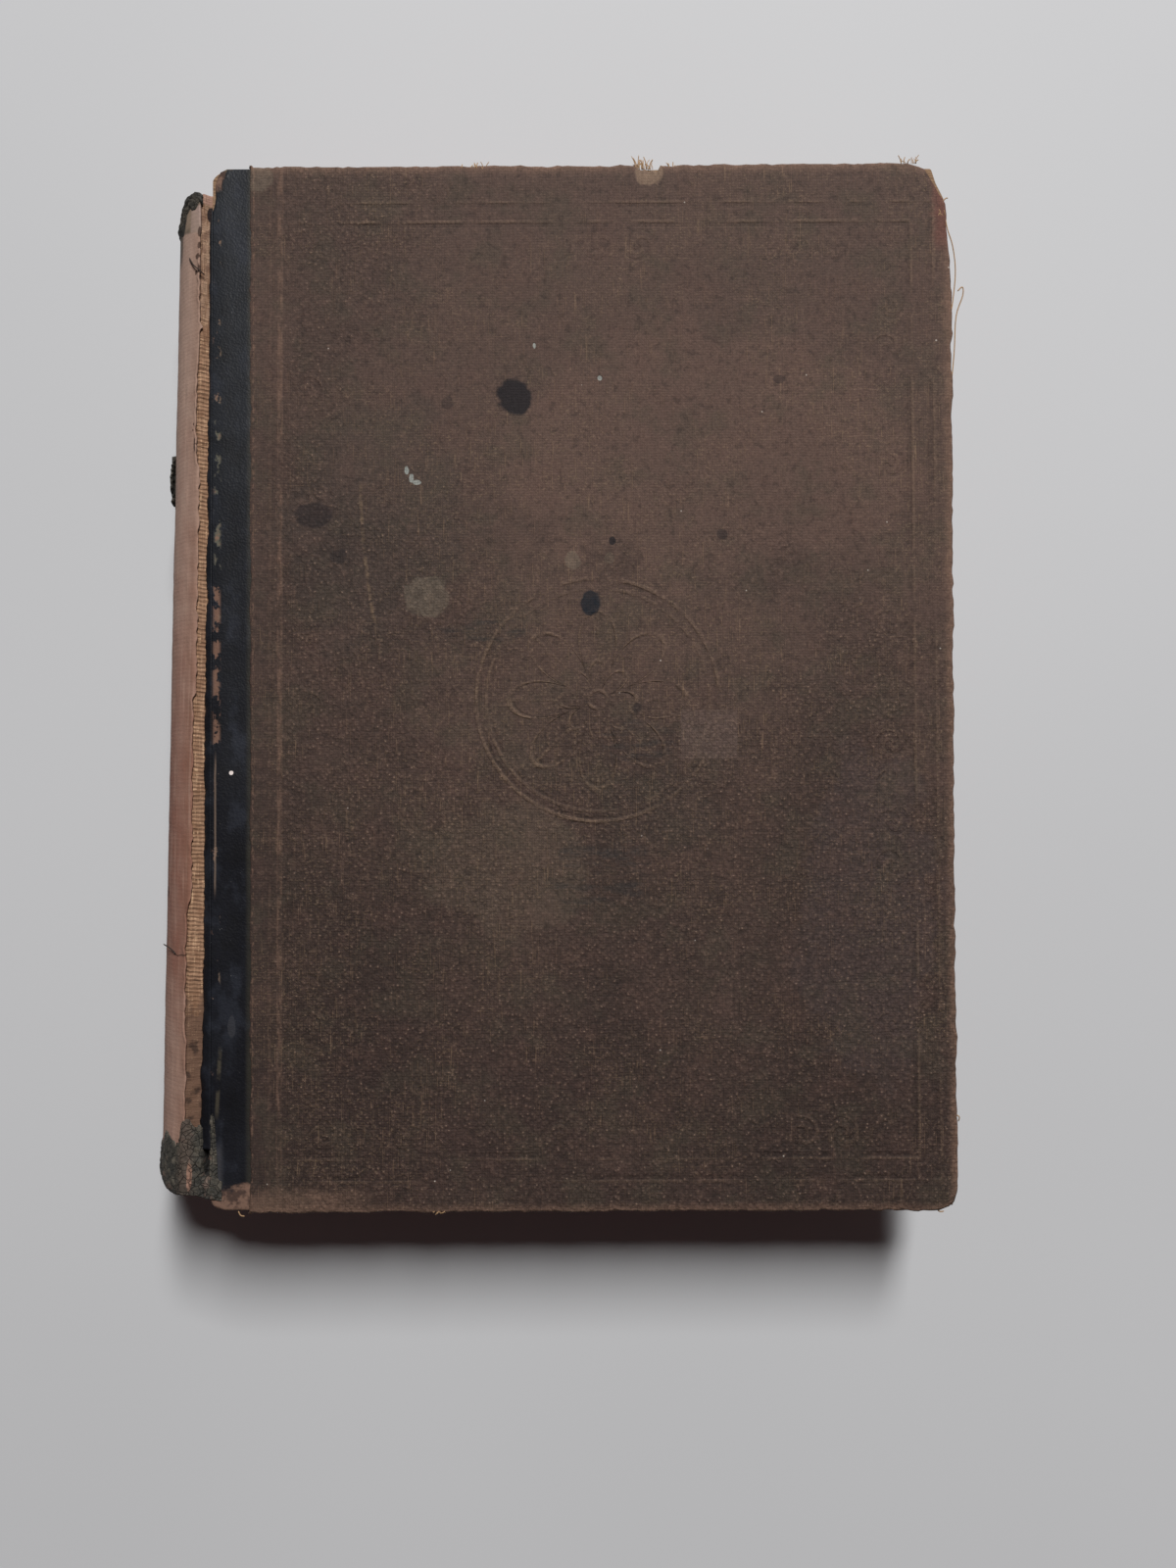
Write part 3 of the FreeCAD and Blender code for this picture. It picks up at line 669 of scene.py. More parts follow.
def cap_sheet(name, side, outline, material, seed):
    """Covering at one end of the spine: it runs on from a torn edge, and folds in over the end."""
    arc = np.linspace(outline[0][0], outline[0][-1], 110)[None, :]
    end, torn = np.interp(arc, outline[0], outline[1]), np.interp(arc, outline[0], outline[2])
    torn = torn + 0.30 * wander(arc, 0, 3, seed) + 0.22 * wander(arc, 0, 0.9, seed + 1)
    along = np.concatenate([np.linspace(0, 1, 18), [1.0] * 8])[:, None]
    turn = np.concatenate([np.zeros(18), np.linspace(0.2, 1.0, 8)])[:, None] * np.pi
    y = torn + (end - 0.5 - torn) * along
    offset = 0.92 + 0.3 * along - 0.3 * (1 - np.cos(turn)) - 0.5 * smooth(turn, 2.3, np.pi)
    crumple = 0.16 * wander(arc, y, 3.2, seed + 2) + 0.12 * wander(arc, y, 1.2, seed + 3)
    crumple = crumple * smooth(along, 0, 0.3)
    y = y + 0.5 * np.sin(np.minimum(turn, np.pi / 2)) - 0.5 * smooth(turn, 2.0, np.pi)
    points = round_spine(arc, offset + abs(crumple) * (turn < 1), y * side)
    return sheet(name, points, stacked(arc, side * (y + turn), 0), SKIN, material, side)


def tail_bridge(material):
    """The tail covering where it crosses the front joint: a ridge over the shoulder, a groove beside the
    board, and a flap on the board's corner; the groove closes towards the tail."""
    row = np.linspace(0, 1, 70)[:, None]
    column = np.linspace(0, 1, 46)[None, :]
    torn = np.interp(
        column,
        [0, 0.06, 0.1, 0.2, 0.3, 0.45, 0.52, 0.66, 0.72, 0.86, 0.92, 1],
        [88.6, 88.4, 84.2, 83.6, 85.0, 84.6, 85.4, 85.6, 82.2, 82.6, 94.4, 95.2],
    )
    torn = torn + 0.35 * wander(column * 12, 0, 2.0, 131) + 0.2 * wander(column * 12, 0, 0.7, 133)
    end = np.interp(column, [0, 0.3, 0.6, 1], [97.7, 97.9, 98.3, 98.7])
    y = -(end + (torn - end) * row)
    edge = front_edge(y)
    closed = smooth(-y, 93.9, 95.2)
    top = FRONT_INNER + COVER - CLOTH + 0.16
    ridge = MIDDLE_Z + TIP_RISE + 1.35
    from_tip = round_spine(TIP_ARC + np.interp(column, [0, 0.16], [-1.2, 0.5]), 1.3, y)
    x = np.where(column < 0.16, from_tip[..., 0], 0)
    z = np.where(column < 0.16, from_tip[..., 2], 0)
    begin = round_spine(TIP_ARC + 0.5 + 0 * y, 1.3, y)
    stations = [0.16, 0.30, 0.44, 0.50, 0.55, 0.62, 0.67, 0.70, 0.76, 0.86, 1.0]
    reach = [None, -2.5, -1.5, -1.15, -0.95, -0.55, -0.25, -0.05, 0.35, 1.0, 2.6]
    low = [ridge + step for step in (0, -0.15, 0.1, -0.5, -1.4, -1.9, -1.6)]
    low += [top + step for step in (-0.7, -0.05, 0, 0)]
    shut = [ridge + step for step in (0, -0.1, 0, 0, 0.02)]
    shut += [top + step for step in (0.1, 0.1, 0.08, 0.05, 0, 0)]
    for i in range(len(stations) - 1):
        inside = (column >= stations[i]) & (column <= stations[i + 1])
        part = smooth(column, stations[i], stations[i + 1])
        ends = []
        for j in (i, i + 1):
            at_x = begin[..., 0] if reach[j] is None else edge + reach[j]
            at_z = low[j] + (shut[j] - low[j]) * closed
            ends.append((at_x, begin[..., 2] if reach[j] is None else at_z))
        line = (column - stations[i]) / (stations[i + 1] - stations[i])
        x = np.where(inside, ends[0][0] + (ends[1][0] - ends[0][0]) * line, x)
        z = np.where(inside, ends[0][1] + (ends[1][1] - ends[0][1]) * part, z)
    z = z + 0.12 * abs(wander(x * 1.5, y, 2.4, 132)) + 0.05 * wander(x * 1.5, y, 0.9, 135)
    # The laid height marks how deep the groove lies; the covering's finish paints the deeper parts dark as
    # shade
    laid = stacked(TIP_ARC + x - TIP_X, y, smooth(z, ridge - 0.5, ridge - 1.5))
    return sheet("tail_cap_bridge", stacked(x, y, z), laid, 0.25, material)


def scrap_sheet(material):
    """The lifted scrap on the far side of the spine, torn all round."""
    low, high = box_corners("spine_scrap")
    part = np.linspace(0, 1, 60)[:, None]
    up = np.linspace(0, 1, 44)[None, :]
    middle, half = (low[1] + high[1]) / 2, (high[1] - low[1]) / 2
    ragged = 0.35 * wander(up * 12, 0, 2.5, 143) + 0.2 * wander(up * 12, 0, 0.8, 144)
    y = middle + (2 * part - 1) * (half * (0.80 + 0.16 * np.sin(np.pi * up)) + ragged * 0.6)
    top = 2.6 + 0.8 * wander(part * 14, 0, 4, 145) + 0.35 * wander(part * 14, 0, 1.2, 146)
    top = top - 2.6 * abs(2 * part - 1) ** 3
    arc = -13.0 + (top + 13.0) * up
    lift = 0.85 * up**2 * (0.45 + 0.55 * np.sin(np.pi * part))
    lift = lift + 0.12 * abs(wander(part * 14, up * 14, 3, 142))
    points = round_spine(arc, 1.3 + lift, y + 0.7)
    return sheet("spine_scrap_skin", points, stacked(arc, y, 0), 0.32, material)


LEAVES = 110  # drawn in the page edges


def page_block(material):
    """The text block: its section carried from tail to head, and leaf after leaf a little uneven."""
    high = FLYLEAF_LOW[2]
    z = np.linspace(2 * MIDDLE_Z - high, high, LEAVES)
    inside = np.clip((z - MIDDLE_Z) / (high - MIDDLE_Z), -1, 1)
    fore = float(FLYLEAF_HIGH[0]) - 6.0 * (1 - inside**2)
    gather = 0.10 * np.sign(np.sin(z * 2 * np.pi / 2.1 + 0.6 * wander(z, 0, 6, 151)))
    edge = np.linspace(-1, 1, 54)[:, None]
    rough = 0.05 * wander(z[None, :], edge * 97, 0.35, 152) + 0.05 * wander(z[None, :], 0 * edge, 0.5, 153)
    fore_face = stacked(fore + gather + rough - 0.05, edge * (BLOCK_HALF - 0.12) + BLOCK_Y, z)
    back = SPINE_X - SPINE_RADIUS * np.cos(np.arcsin((z - MIDDLE_Z) / SPINE_RADIUS)) + 0.1
    parts = []
    for side in (-1, 1):
        run = np.linspace(0, 1, 46)[:, None]
        across = back + (fore_face[0 if side < 0 else -1, :, 0] - back) * run
        uneven = 0.06 * wander(z[None, :], 0 * run, 0.5, 154 + side) + 0.05 * wander(
            z[None, :] * 3, across / 30, 1.0, 156 + side
        )
        inset = 0.12 - uneven * np.sin(np.pi * run) ** 0.3 * (abs(inside) < 0.99)
        parts.append(stacked(across, side * (BLOCK_HALF - inset) + BLOCK_Y, z))
    tail, head = parts
    ring = np.concatenate([tail[:-1], fore_face[:-1], head[::-1]], 0)
    rows, columns = ring.shape[:2]
    faces = [grid_faces(rows, columns)]
    index = np.arange(rows * columns).reshape(rows, columns)
    for column, order in ((0, [0, 1, 2, 3]), (-1, [0, 3, 2, 1])):
        lower, upper = index[: len(tail), column], index[-len(tail) :, column][::-1]
        faces.append(np.stack([lower[:-1], upper[:-1], upper[1:], lower[1:]], -1)[:, order])
    faces.append(np.stack([index[0, :-1], index[0, 1:], index[-1, 1:], index[-1, :-1]], -1))
    points = ring.reshape(-1, 3)
    return make_mesh("page_block", points, np.concatenate(faces), points, material)


def shoulders(material):
    """The two backed shoulders of the text block, as wedges along the spine."""
    made = []
    for name, side in (("front_shoulder", 1), ("back_shoulder", -1)):
        level = float(FLYLEAF_LOW[2]) - MIDDLE_Z
        foot = [(SHOULDER_FOOT + 1.5, level - 0.3), (SHOULDER_FOOT, level - 0.02)]
        corners = np.array([*foot, (TIP_X, TIP_RISE), (TIP_X - 1.6, level - 0.3)])
        following = np.roll(corners, -1, 0)
        ring = np.concatenate([corners + (following - corners) * t for t in (0, 1 / 3, 2 / 3)])
        ring = ring.reshape(3, 4, 2).transpose(1, 0, 2).reshape(-1, 2)
        y = np.linspace(-(BLOCK_HALF - 0.1), BLOCK_HALF - 0.1, 40)
        y = np.concatenate([[y[0]], y, [y[-1]]]) + BLOCK_Y
        size = np.ones(len(y))
        size[[0, -1]] = 0
        middle = ring.mean(0)
        at = middle + (ring - middle)[None] * size[:, None, None]
        points = stacked(at[..., 0], y[:, None], MIDDLE_Z + side * at[..., 1])
        faces = grid_faces(len(y), len(ring), closed=True)
        made.append(make_mesh(name, points.reshape(-1, 3), faces, points.reshape(-1, 3), material))
    return made


def paper_hinge(front, material):
    """The endpaper's fold in a joint: a leg on the flyleaf, a bend, and a leg under the cover."""
    y = np.linspace(-(BLOCK_HALF - 3.4), BLOCK_HALF - 3.4, 40)[:, None] + BLOCK_Y
    turn = np.linspace(-np.pi / 2, np.pi / 2, 13)
    leg = np.linspace(5.0, 0.1, 6)
    out = np.concatenate([leg, -0.05 * np.cos(turn), leg[::-1]])
    up = np.concatenate([np.full(6, -0.05), 0.05 * np.sin(turn), np.full(6, 0.05)])
    z = FRONT_INNER + up if front else 2 * MIDDLE_Z - (FRONT_INNER + up)
    points = stacked(SHOULDER_FOOT + 0.2 + out, y, z)
    name = "front_paper_hinge" if front else "back_paper_hinge"
    return sheet(name, points, points, 0.03, material, 1 if front else -1)


# MATERIALS
# Places in the tables are in millimetres from the middle of the front cloth.

ZONES = (
    # x, y, across, up, strength, colour: wide uneven tones of the front cloth
    (-40, 30, 20, 24, 0.34, (54, 49, 45)),
    (24, 44, 40, 24, 0.34, (92, 72, 64)),
    (54, -42, 14, 34, 0.40, (62, 53, 53)),
    (-14, -34, 16, 12, 0.34, (80, 70, 60)),
    (14, -24, 12, 10, 0.30, (50, 45, 41)),
    (-30, -78, 34, 15, 0.34, (50, 38, 36)),
)
FRAMES = (
    # left, right, tail, head, strength: two stamped frames on each cover
    (-58.6, 67.9, -94.2, 93.0, 0.75),
    (-57.2, 63.8, -90.0, 89.2, 0.9),
)
SCROLL_STEP = 7.6  # from one small scroll to the next
MEDALLION_PLACE, PETALS = (3.2, -2.9), 8
SPOTS = (
    # x, y, across, up, strength: ink and dirt
    (-12.5, 55.3, 3.5, 3.7, 1.0),
    (6.1, 27.5, 0.75, 0.85, 0.95),
    (-51.0, 32.8, 3.6, 2.4, 0.62),
    (-46.3, 24.7, 1.7, 1.5, 0.5),
    (-25.3, 54.2, 1.3, 1.3, 0.42),
    (38.2, 58.5, 1.3, 0.9, 0.5),
    (27.1, 28.7, 1.2, 1.1, 0.6),
    (10.7, -4.4, 0.9, 0.9, 0.6),
)
PATCHES = (
    # x, y, across, up, strength: paler rubbed or spilt places
    (-29.1, 16.7, 4.3, 3.9, 0.40),
    (-1.4, 23.7, 1.3, 1.6, 0.42),
    (5.6, 24.1, 1.2, 1.3, 0.26),
    (-61.6, 97.6, 2.8, 2.6, 0.34),
)
FLECKS = (
    # x, y, across, up: small light drops
    (-32.3, 39.7, 0.5, 0.9),
    (-31.3, 38.9, 0.9, 0.5),
    (-33.2, 41.2, 0.4, 0.8),
    (3.8, 58.8, 0.4, 0.4),
    (-8.7, 65.1, 0.3, 0.5),
)
SMEARS = (
    # x, y, across, up, raggedness: bluish streaks
    (-19, 10.4, 9, 2.6, 0.8),
    (11, -11, 8, 5, 0.9),
    (4, -36, 10, 7, 1.0),
)
RIB_PITCH = 0.85  # of the lining's ribs
LINING_MARKS = (
    # along the arc from the shoulder's tip, y, half width, half height: holes and stains where it was sewn
    (-0.1, 86.8, 0.5, 0.95),
    (-0.2, 84.2, 0.36, 0.7),
    (-0.5, 82.1, 0.6, 0.6),
    (-0.1, 79.6, 0.3, 0.9),
    (-0.9, 79.0, 0.3, 0.5),
    (-0.75, 49.5, 0.22, 0.3),
    (-0.95, 48.4, 0.2, 0.25),
    (-0.3, 45.4, 0.35, 1.5),
    (-8.2, -41.0, 0.5, 1.2),
)


def cloth_finish(name, sizes, colours, front):
    """Book cloth: crossing threads, slubs, rubbed crowns, dark and worn places, painted shade towards the
    tail, stamped lines with painted highlights and shade, stains.
    """
    f = Finish(name, Specular_IOR_Level=0.2)
    large, middle = f.noise(34, detail=3), f.noise(6.5, detail=3, shift=7)
    small = f.noise(1.5, detail=3, shift=3)
    drift = f.noise(3, 9, 3, shift=11) * 5
    warp = f.wave(f.x * (2 * math.pi * MM / sizes.warp_pitch) + drift)
    weft = f.wave(f.y * (2 * math.pi * MM / sizes.weft_pitch) + drift)
    crown = warp * weft
    upright = f.noise(0.20, 5.0, 1, detail=1, shift=21)
    level = f.noise(3.0, 0.20, 1, detail=1, shift=31)
    grain = f.noise(0.5, detail=3, rough=0.7, shift=41)
    fleck = f.noise(0.42, 0.34, 1, detail=1, shift=51)
    slub, cross = upright.rise(0.64, 0.74), level.rise(0.66, 0.76)
    rubbed = (f.noise(22, detail=2, shift=71) * 0.6 + middle * 0.4).rise(0.42, 0.62)
    rubbed = rubbed.most(f.blot(4, -2, 34, 30, 0.9, middle) * 0.9)
    edge = abs(f.y).rise(HALF_HEIGHT - 2.2, HALF_HEIGHT + 0.2).most(f.x.rise(FORE_EDGE - 2.2, FORE_EDGE))
    edge = edge * (0.25 + middle * 0.9 + (small - 0.5) * 0.8)
    ridge_x = SPINE_EDGE + sizes.strip_width / MM
    ridge = f.x.line(ridge_x + 0.7, 0.8).most(f.x.line(ridge_x - 1.2, 0.45) * 0.3)
    ridge = ridge * (0.1 + f.noise(0.7, 4, 1, detail=3, shift=61).rise(0.38, 0.66) * 0.9)
    hem = f.x.line(SPINE_EDGE + 8.4, 0.35) * f.noise(0.4, 1.1, 1, detail=1, shift=66).rise(0.5, 0.6)
    # dirt darkens the cloth towards the tail, towards the spine edge and in random clouds; the darkening
    # towards the tail is painted shade of the light falling off from head to tail
    dirt = f.y.rise(70, -100) * 0.62 + f.x.rise(-5, -60) * 0.26 + (large - 0.5) * 0.9 + (middle - 0.5) * 0.5
    f.base = f.mix(dirt.rise(-0.1, 0.95), colours.cloth, colours.cloth_dirt_and_shade)
    for *oval, strength, tone in ZONES if front else ():
        f.lay(f.blot(*oval, 0.9, large * 0.5 + middle * 0.5) * strength, srgb(*tone))
    hue = f.noise(9, detail=4, rough=0.6, shift=6)
    f.lay(hue.rise(0.50, 0.64) * 0.36, srgb(62, 56, 47))
    f.lay(hue.rise(0.48, 0.36) * 0.22, srgb(80, 60, 54))
    f.lay(small.rise(0.54, 0.70) * 0.22, srgb(100, 80, 70))
    f.lay(small.rise(0.46, 0.32) * 0.36, srgb(34, 27, 26))
    beads = f.cells("F1", 1.25, Randomness=0.9)
    lumpy = (dirt.rise(0.0, 0.45) * 0.75 + 0.1) * f.x.rise(-64, -54)
    bead = beads.rise(0.32, 0.10) * grain.rise(0.42, 0.62) * lumpy
    gold = fleck.rise(0.60, 0.70) * (rubbed * 0.45 + 0.12)
    worn = (rubbed * (slub * 0.5 + cross * 0.3 + crown * 0.1)).most(gold * 0.8)
    f.lay(worn * 0.7, colours.cloth_worn)
    f.lay(bead * 0.6, srgb(132, 110, 95))
    f.lay(slub * 0.14 + cross * 0.08 + ridge * 0.42 + edge * 0.8 + hem * 0.4, colours.cloth_edge)
    pit = beads.rise(0.42, 0.62) * lumpy
    # shadow mixes the grain's random tone with painted light: a painted highlight on thread crowns and
    # painted shade in pits
    shadow = 0.93 + (grain - 0.5) * 1.2 + crown * 0.12 - upright.rise(0.34, 0.24) * 0.2 - pit * 0.22
    height = crown * 0.35 + slub * 0.4 + grain * 1.4 + small * 0.7 + fleck * 0.4 + bead - pit * 0.8
    # light is painted highlight on the stamped lines, dark is their painted shade beside them, and raised is
    # their height
    light, dark, raised = frame_lines(f)
    if front:
        ring, beside = medallion(f, sizes)
        light, dark, raised = light.most(ring), dark.most(beside), raised + ring * 1.2 - beside * 0.5
    # Painted highlight along the stamped lines
    f.lay(light * 0.24 * (grain * 2.4 - 0.3), srgb(132, 110, 90))
    # Painted shade beside the stamped lines
    shadow = shadow - dark * 0.15
    height = height + raised * 1.6 + ridge * 1.2
    if front:
        stains(f, colours, middle, small)
    pale = f.cells("F1", 1 / 7, Randomness=1.0)
    f.lay(pale.rise(0.028, 0.016) * 0.7, srgb(170, 162, 154))
    return f.finish(f.shade(f.base, shadow), height, 0.07, Roughness=0.8 - worn * 0.1 - (large - 0.5) * 0.1)


def frame_lines(f):
    """Blind-stamped lines and a border of small scrolls: their light sides as painted highlight, their dark
    sides as painted shade, and height.
    """
    worn = f.noise(9, detail=2, shift=81).rise(0.36, 0.60) * (0.25 + f.x.rise(-55, -50) * 0.75)
    lights, painted_shades = [], []
    for left, right, tail, head, strength in FRAMES:
        inside = (f.x - left).least(right - f.x).least(head - f.y).least(f.y - tail)
        lights.append(inside.line(0.0, 0.42) * strength)
        painted_shades.append(inside.line(0.75, 0.7) * strength)
    deep = inside - 4.6
    upright = ((f.x - left).least(right - f.x) - (head - f.y).least(f.y - tail)).rise(0.2, -0.2)
    run = f.y * upright + f.x * (1 - upright)
    turn = ((run / SCROLL_STEP).of("FRACT") - 0.5) * SCROLL_STEP
    reach = (turn * turn + deep * deep) ** 0.5
    spiral = reach * 3.1 - turn.math("ARCTAN2", deep, turn) * 2
    # The scrolls' curl is painted highlight, and shade is the same curve shifted, as painted shade
    scroll_highlight = f.wave(spiral).rise(0.62, 0.95) * reach.rise(3.5, 2.9)
    shade = f.wave(spiral + 2.2).rise(0.66, 0.95) * reach.rise(3.5, 2.9)
    patchy = f.noise(16, detail=3, shift=91).rise(0.46, 0.64) * f.x.rise(-54, -50)
    light = highest(lights) * worn * 0.7 + scroll_highlight * patchy * 0.30
    dark = highest(painted_shades) * worn + shade * patchy * 0.6
    return light, dark, (light - dark) * 0.8


def medallion(f, sizes):
    """A stamped ring of two lines with an eight-petalled rosette inside it: light sides as painted highlight
    and dark sides as painted shade.
    """
    x, y = f.x - MEDALLION_PLACE[0], f.y - MEDALLION_PLACE[1]
    worn = f.noise(5, detail=4, rough=0.65, shift=101).rise(0.40, 0.62) * 0.8
    worn = worn + (x + y * 0.6).rise(0, -22) * 0.4
    radius = sizes.medallion / MM
    turn = y.math("ARCTAN2", y, x) * (PETALS / 2)
    petal = abs(turn.of("COSINE")) ** 0.6
    sides = []
    for shift in (0.0, 0.65):
        reach = (x * x + y * y) ** 0.5 + shift
        ring = reach.line(radius, 0.55).most(reach.line(radius - 1.9, 0.45) * 0.6)
        leaf = (reach - petal * 11.0 - 6.0).line(0.0, 0.75)
        heart = (reach - petal * 4.8 - 2.6).line(0.0, 0.6).most(reach.line(1.8, 0.4))
        spoke = abs(turn.of("SINE")).rise(0.12, 0.03) * reach.rise(7, 8) * reach.rise(19, 17)
        sides.append(highest((ring, leaf * 1.15, heart * 1.1, spoke * 0.8)) * worn)
    return sides


def stains(f, colours, middle, small):
    """Ink spots, smudges, pale patches, scratches and flecks, each at its place on the front cloth."""
    wobble = middle * 0.6 + small * 0.4
    ink = highest([f.blot(*oval, 0.5, wobble) * strength for *oval, strength in SPOTS])
    f.lay(ink * 0.92, colours.ink)
    blue = f.blot(1.8, 15.6, 1.75, 2.5, 0.7, wobble)
    f.lay(blue * (0.5 + small * 0.8), srgb(22, 26, 33))
    for *oval, strength in PATCHES:
        f.lay(f.blot(*oval, 1.0, wobble) * strength * (0.4 + small), srgb(104, 95, 82))
    card = abs(f.x - 24.4).rise(5.7, 5.1) * abs(f.y + 9.6).rise(5.0, 4.4)
    f.lay(card * (0.05 + middle * 0.4), srgb(104, 88, 82))
    scratch = (f.x + 42.6 - (37.5 - f.y) * 0.11 - ((f.y - 24) * (f.y - 24) * 0.003)).line(0, 0.5)
    scratch = scratch * f.y.rise(8, 14) * f.y.rise(41, 36) * small.rise(0.35, 0.6)
    f.lay(scratch * 0.36, colours.cloth_worn)
    streak = f.noise(5.5, 1.6, 1, detail=2, shift=111)
    smear = highest([f.blot(*row, wobble) for row in SMEARS])
    f.lay(smear * streak.rise(0.44, 0.70) * (0.1 + small * 0.7), srgb(38, 40, 41))
    for oval in FLECKS:
        f.lay(f.blot(*oval, 0.6, small) * 0.5, srgb(160, 168, 164))
    broken = (f.x + (small - 0.5) * 2).rise(67.2, 69.0) * f.y.rise(82, 87) * f.y.rise(98.5, 95)
    f.lay(broken * (0.5 + middle) * 0.6, srgb(98, 60, 53))
    chip = f.blot(CHIP_X, HALF_HEIGHT - 1.0, 2.6, 2.6, 0.9, wobble)
    f.lay(chip * (0.2 + small * 0.9), srgb(122, 102, 86))
    tail = (f.y + (middle - 0.5) * 5).rise(-94.6, -97.0) * f.x.rise(-36, -48)
    f.lay(tail * (0.1 + small * 0.8), srgb(104, 82, 70))


def strip_finish(name, colours, front):
    """Leather-cloth: fine grain, a satin shine, a painted sheen that lightens it towards the head, scuffs
    along the arris, and ends rubbed to the backing.
    """
    f = Finish(name, Specular_IOR_Level=0.16)
    grain = f.cells("SMOOTH_F1", 2.6, Smoothness=0.6)
    large, middle, fine = f.noise(14, detail=3), f.noise(3.4, detail=3, shift=8), f.noise(0.7, shift=5)
    rag = f.noise(1.6, 3.0, 1.6, detail=3, shift=13)
    near = f.x - SPINE_EDGE
    # Painted sheen: the strip turns lighter towards the head, standing in for the lamp's glossy reflection
    # there
    painted_sheen = f.y.rise(-30, 95)
    f.base = f.mix(painted_sheen * 0.8 + (large - 0.5) * 0.6, colours.strip, srgb(30, 33, 38))
    cloud = f.noise(5, 9, 5, detail=4, rough=0.6, shift=19)
    f.lay(cloud.rise(0.48, 0.66) * 0.6, srgb(40, 43, 51))
    f.lay(cloud.rise(0.46, 0.32) * 0.5, srgb(16, 16, 18))
    f.base = f.shade(f.base, 0.9 + (large - 0.5) * 0.5 + (fine - 0.5) * 0.5)
    if not front:
        scuff = (rag + near.line(1.1, 1.0) * 0.12).rise(0.68, 0.76) * near.line(1.1, 1.0)
        f.lay(scuff, colours.strip_worn)
        return f.finish(f.base, grain * 0.6 + fine * 0.6, 0.06, Roughness=0.46 + (large - 0.5) * 0.2)
    stained = near.rise(6.7, 7.7) * (middle * 0.9 + 0.15)
    f.lay(stained * 0.6, srgb(58, 55, 46))
    upper, lower = f.y.rise(56, 48) * f.y.rise(20, 24), f.y.rise(-12, -9) * f.y.rise(21, 17)
    grey = near.line(1.5, 0.9) * (rag + upper * 0.10 + fine * 0.3).rise(0.78, 0.86)
    f.lay(grey * 0.7, srgb(94, 92, 80))
    tan = near.line(1.35, 1.0) * (rag + lower * 0.17 + fine * 0.3).rise(0.78, 0.86)
    f.lay(tan * 0.75, colours.strip_worn)
    arris = near.line(1.15, 0.28) * f.y.rise(-12, -16) * f.y.rise(-41, -37)
    f.lay(arris * 0.6, srgb(112, 96, 84))
    olive = (near - 1.9 - (f.y + 75) * 0.05).line(0, 0.55) * middle.rise(0.35, 0.5)
    olive = olive * f.y.rise(-68, -71) * f.y.rise(-83, -80)
    f.lay(olive * 0.4, srgb(84, 78, 64))
    dull = near.line(1.6, 1.6) * f.y.rise(-86, -89) + f.blot(-66.6, -64.6, 0.8, 2.4, 0.6, middle) * 0.6
    f.lay(dull * 0.5, srgb(66, 66, 70))
    corner = (near / 4.6 + (HALF_HEIGHT - f.y) / 5.2 + (rag - 0.5) * 1.3).rise(1.12, 0.86)
    tail = (f.y + 95.2 + (middle - 0.5) * 5.0 - near * 0.06).rise(0.5, -0.5)
    bare = corner.most(tail)
    flesh = f.mix((middle * 0.6 + fine * 0.4).rise(0.44, 0.58), srgb(108, 85, 73), srgb(66, 51, 45))
    flesh = f.mix(corner * (HALF_HEIGHT - f.y).rise(1.6, 0.4) * near.rise(2.0, 3.4), flesh, srgb(104, 98, 76))
    f.lay(bare * 0.95, flesh)
    speck = fine.rise(0.72, 0.77) * middle.rise(0.5, 0.62) * 0.5
    f.lay(speck, srgb(120, 120, 118))
    f.lay(f.blot(-66.8, -16.6, 0.42, 0.42, 0.2, fine), srgb(206, 196, 192))
    worn = (grey + tan + bare).least(1.0)
    roughness = 0.48 + worn * 0.35 + (large - 0.5) * 0.2
    return f.finish(f.base, grain * 0.6 + fine * 0.6 - worn * 0.8, 0.06, Roughness=roughness)


def lining_finish(name, colours):
    """Pink spine lining: fine ribs across the spine, glue stains, dark marks at the cords and a crack."""
    f = Finish(name, Roughness=0.85, Specular_IOR_Level=0.25)
    wide, mid = f.noise(12, 60, 1, detail=3), f.noise(5, detail=3, shift=4)
    fine = f.noise(0.6, 0.25, 1, shift=9)
    streak = f.noise(0.7, 14, 1, detail=2, shift=17)
    rib = (f.y * (2 * math.pi / RIB_PITCH) + mid * 3).of("SINE")
    brown = f.y.rise(62, -36) * 0.85 - f.y.rise(-52, -72) * 0.5 + (mid - 0.5) * 0.8 + (wide - 0.5) * 0.7
    f.base = f.mix(brown, colours.lining, colours.lining_stain)
    far = (f.x - TIP_ARC + 0.2).rise(-3.2, 0.2)
    f.lay(far * (0.15 + mid * 0.45 + (streak - 0.5) * 0.6), srgb(112, 82, 66))
    f.lay(streak.rise(0.52, 0.68) * 0.3, srgb(166, 138, 124))
    inward = TIP_ARC - f.x
    blank = (f.y - inward * 0.2 + inward.rise(0.9, -0.2) * 0.8).rise(86.5, 87.0)
    patch = inward.rise(3.2, 2.6) * inward.rise(-0.5, 0.1) * blank * f.y.rise(92.4, 91.6)
    dirt = f.mix(mid.rise(0.4, 0.6), srgb(126, 110, 94), srgb(88, 78, 66))
    f.lay(blank * 0.9, dirt)
    f.lay(patch * (0.75 + (mid - 0.5) * 1.4), srgb(158, 136, 128))
    side = f.x.rise(9.6, 8.6) * (f.y + mid * 6).rise(84, 88)
    f.lay(side * 0.8, srgb(66, 60, 52))
    mark = highest([f.blot(TIP_ARC + x, *rest, 0.5, fine * 0.5 + mid * 0.5) for x, *rest in LINING_MARKS])
    crack = (f.y + 52.6 + (mid - 0.5) * 2.0).line(0, 0.24) * f.x.rise(TIP_ARC - 5, TIP_ARC - 3)
    f.lay((mark * 0.85).most(crack * 0.8), srgb(58, 40, 32))
    # The rib term is a faint painted shade across the ribs; streaks and fine noise are random tone
    tone = 0.95 + rib * 0.012 + (streak - 0.5) * 0.2 + (fine - 0.5) * 0.26
    return f.finish(f.shade(f.base, tone), rib * 0.08 + fine * 0.6 + mid * 0.8, 0.06)


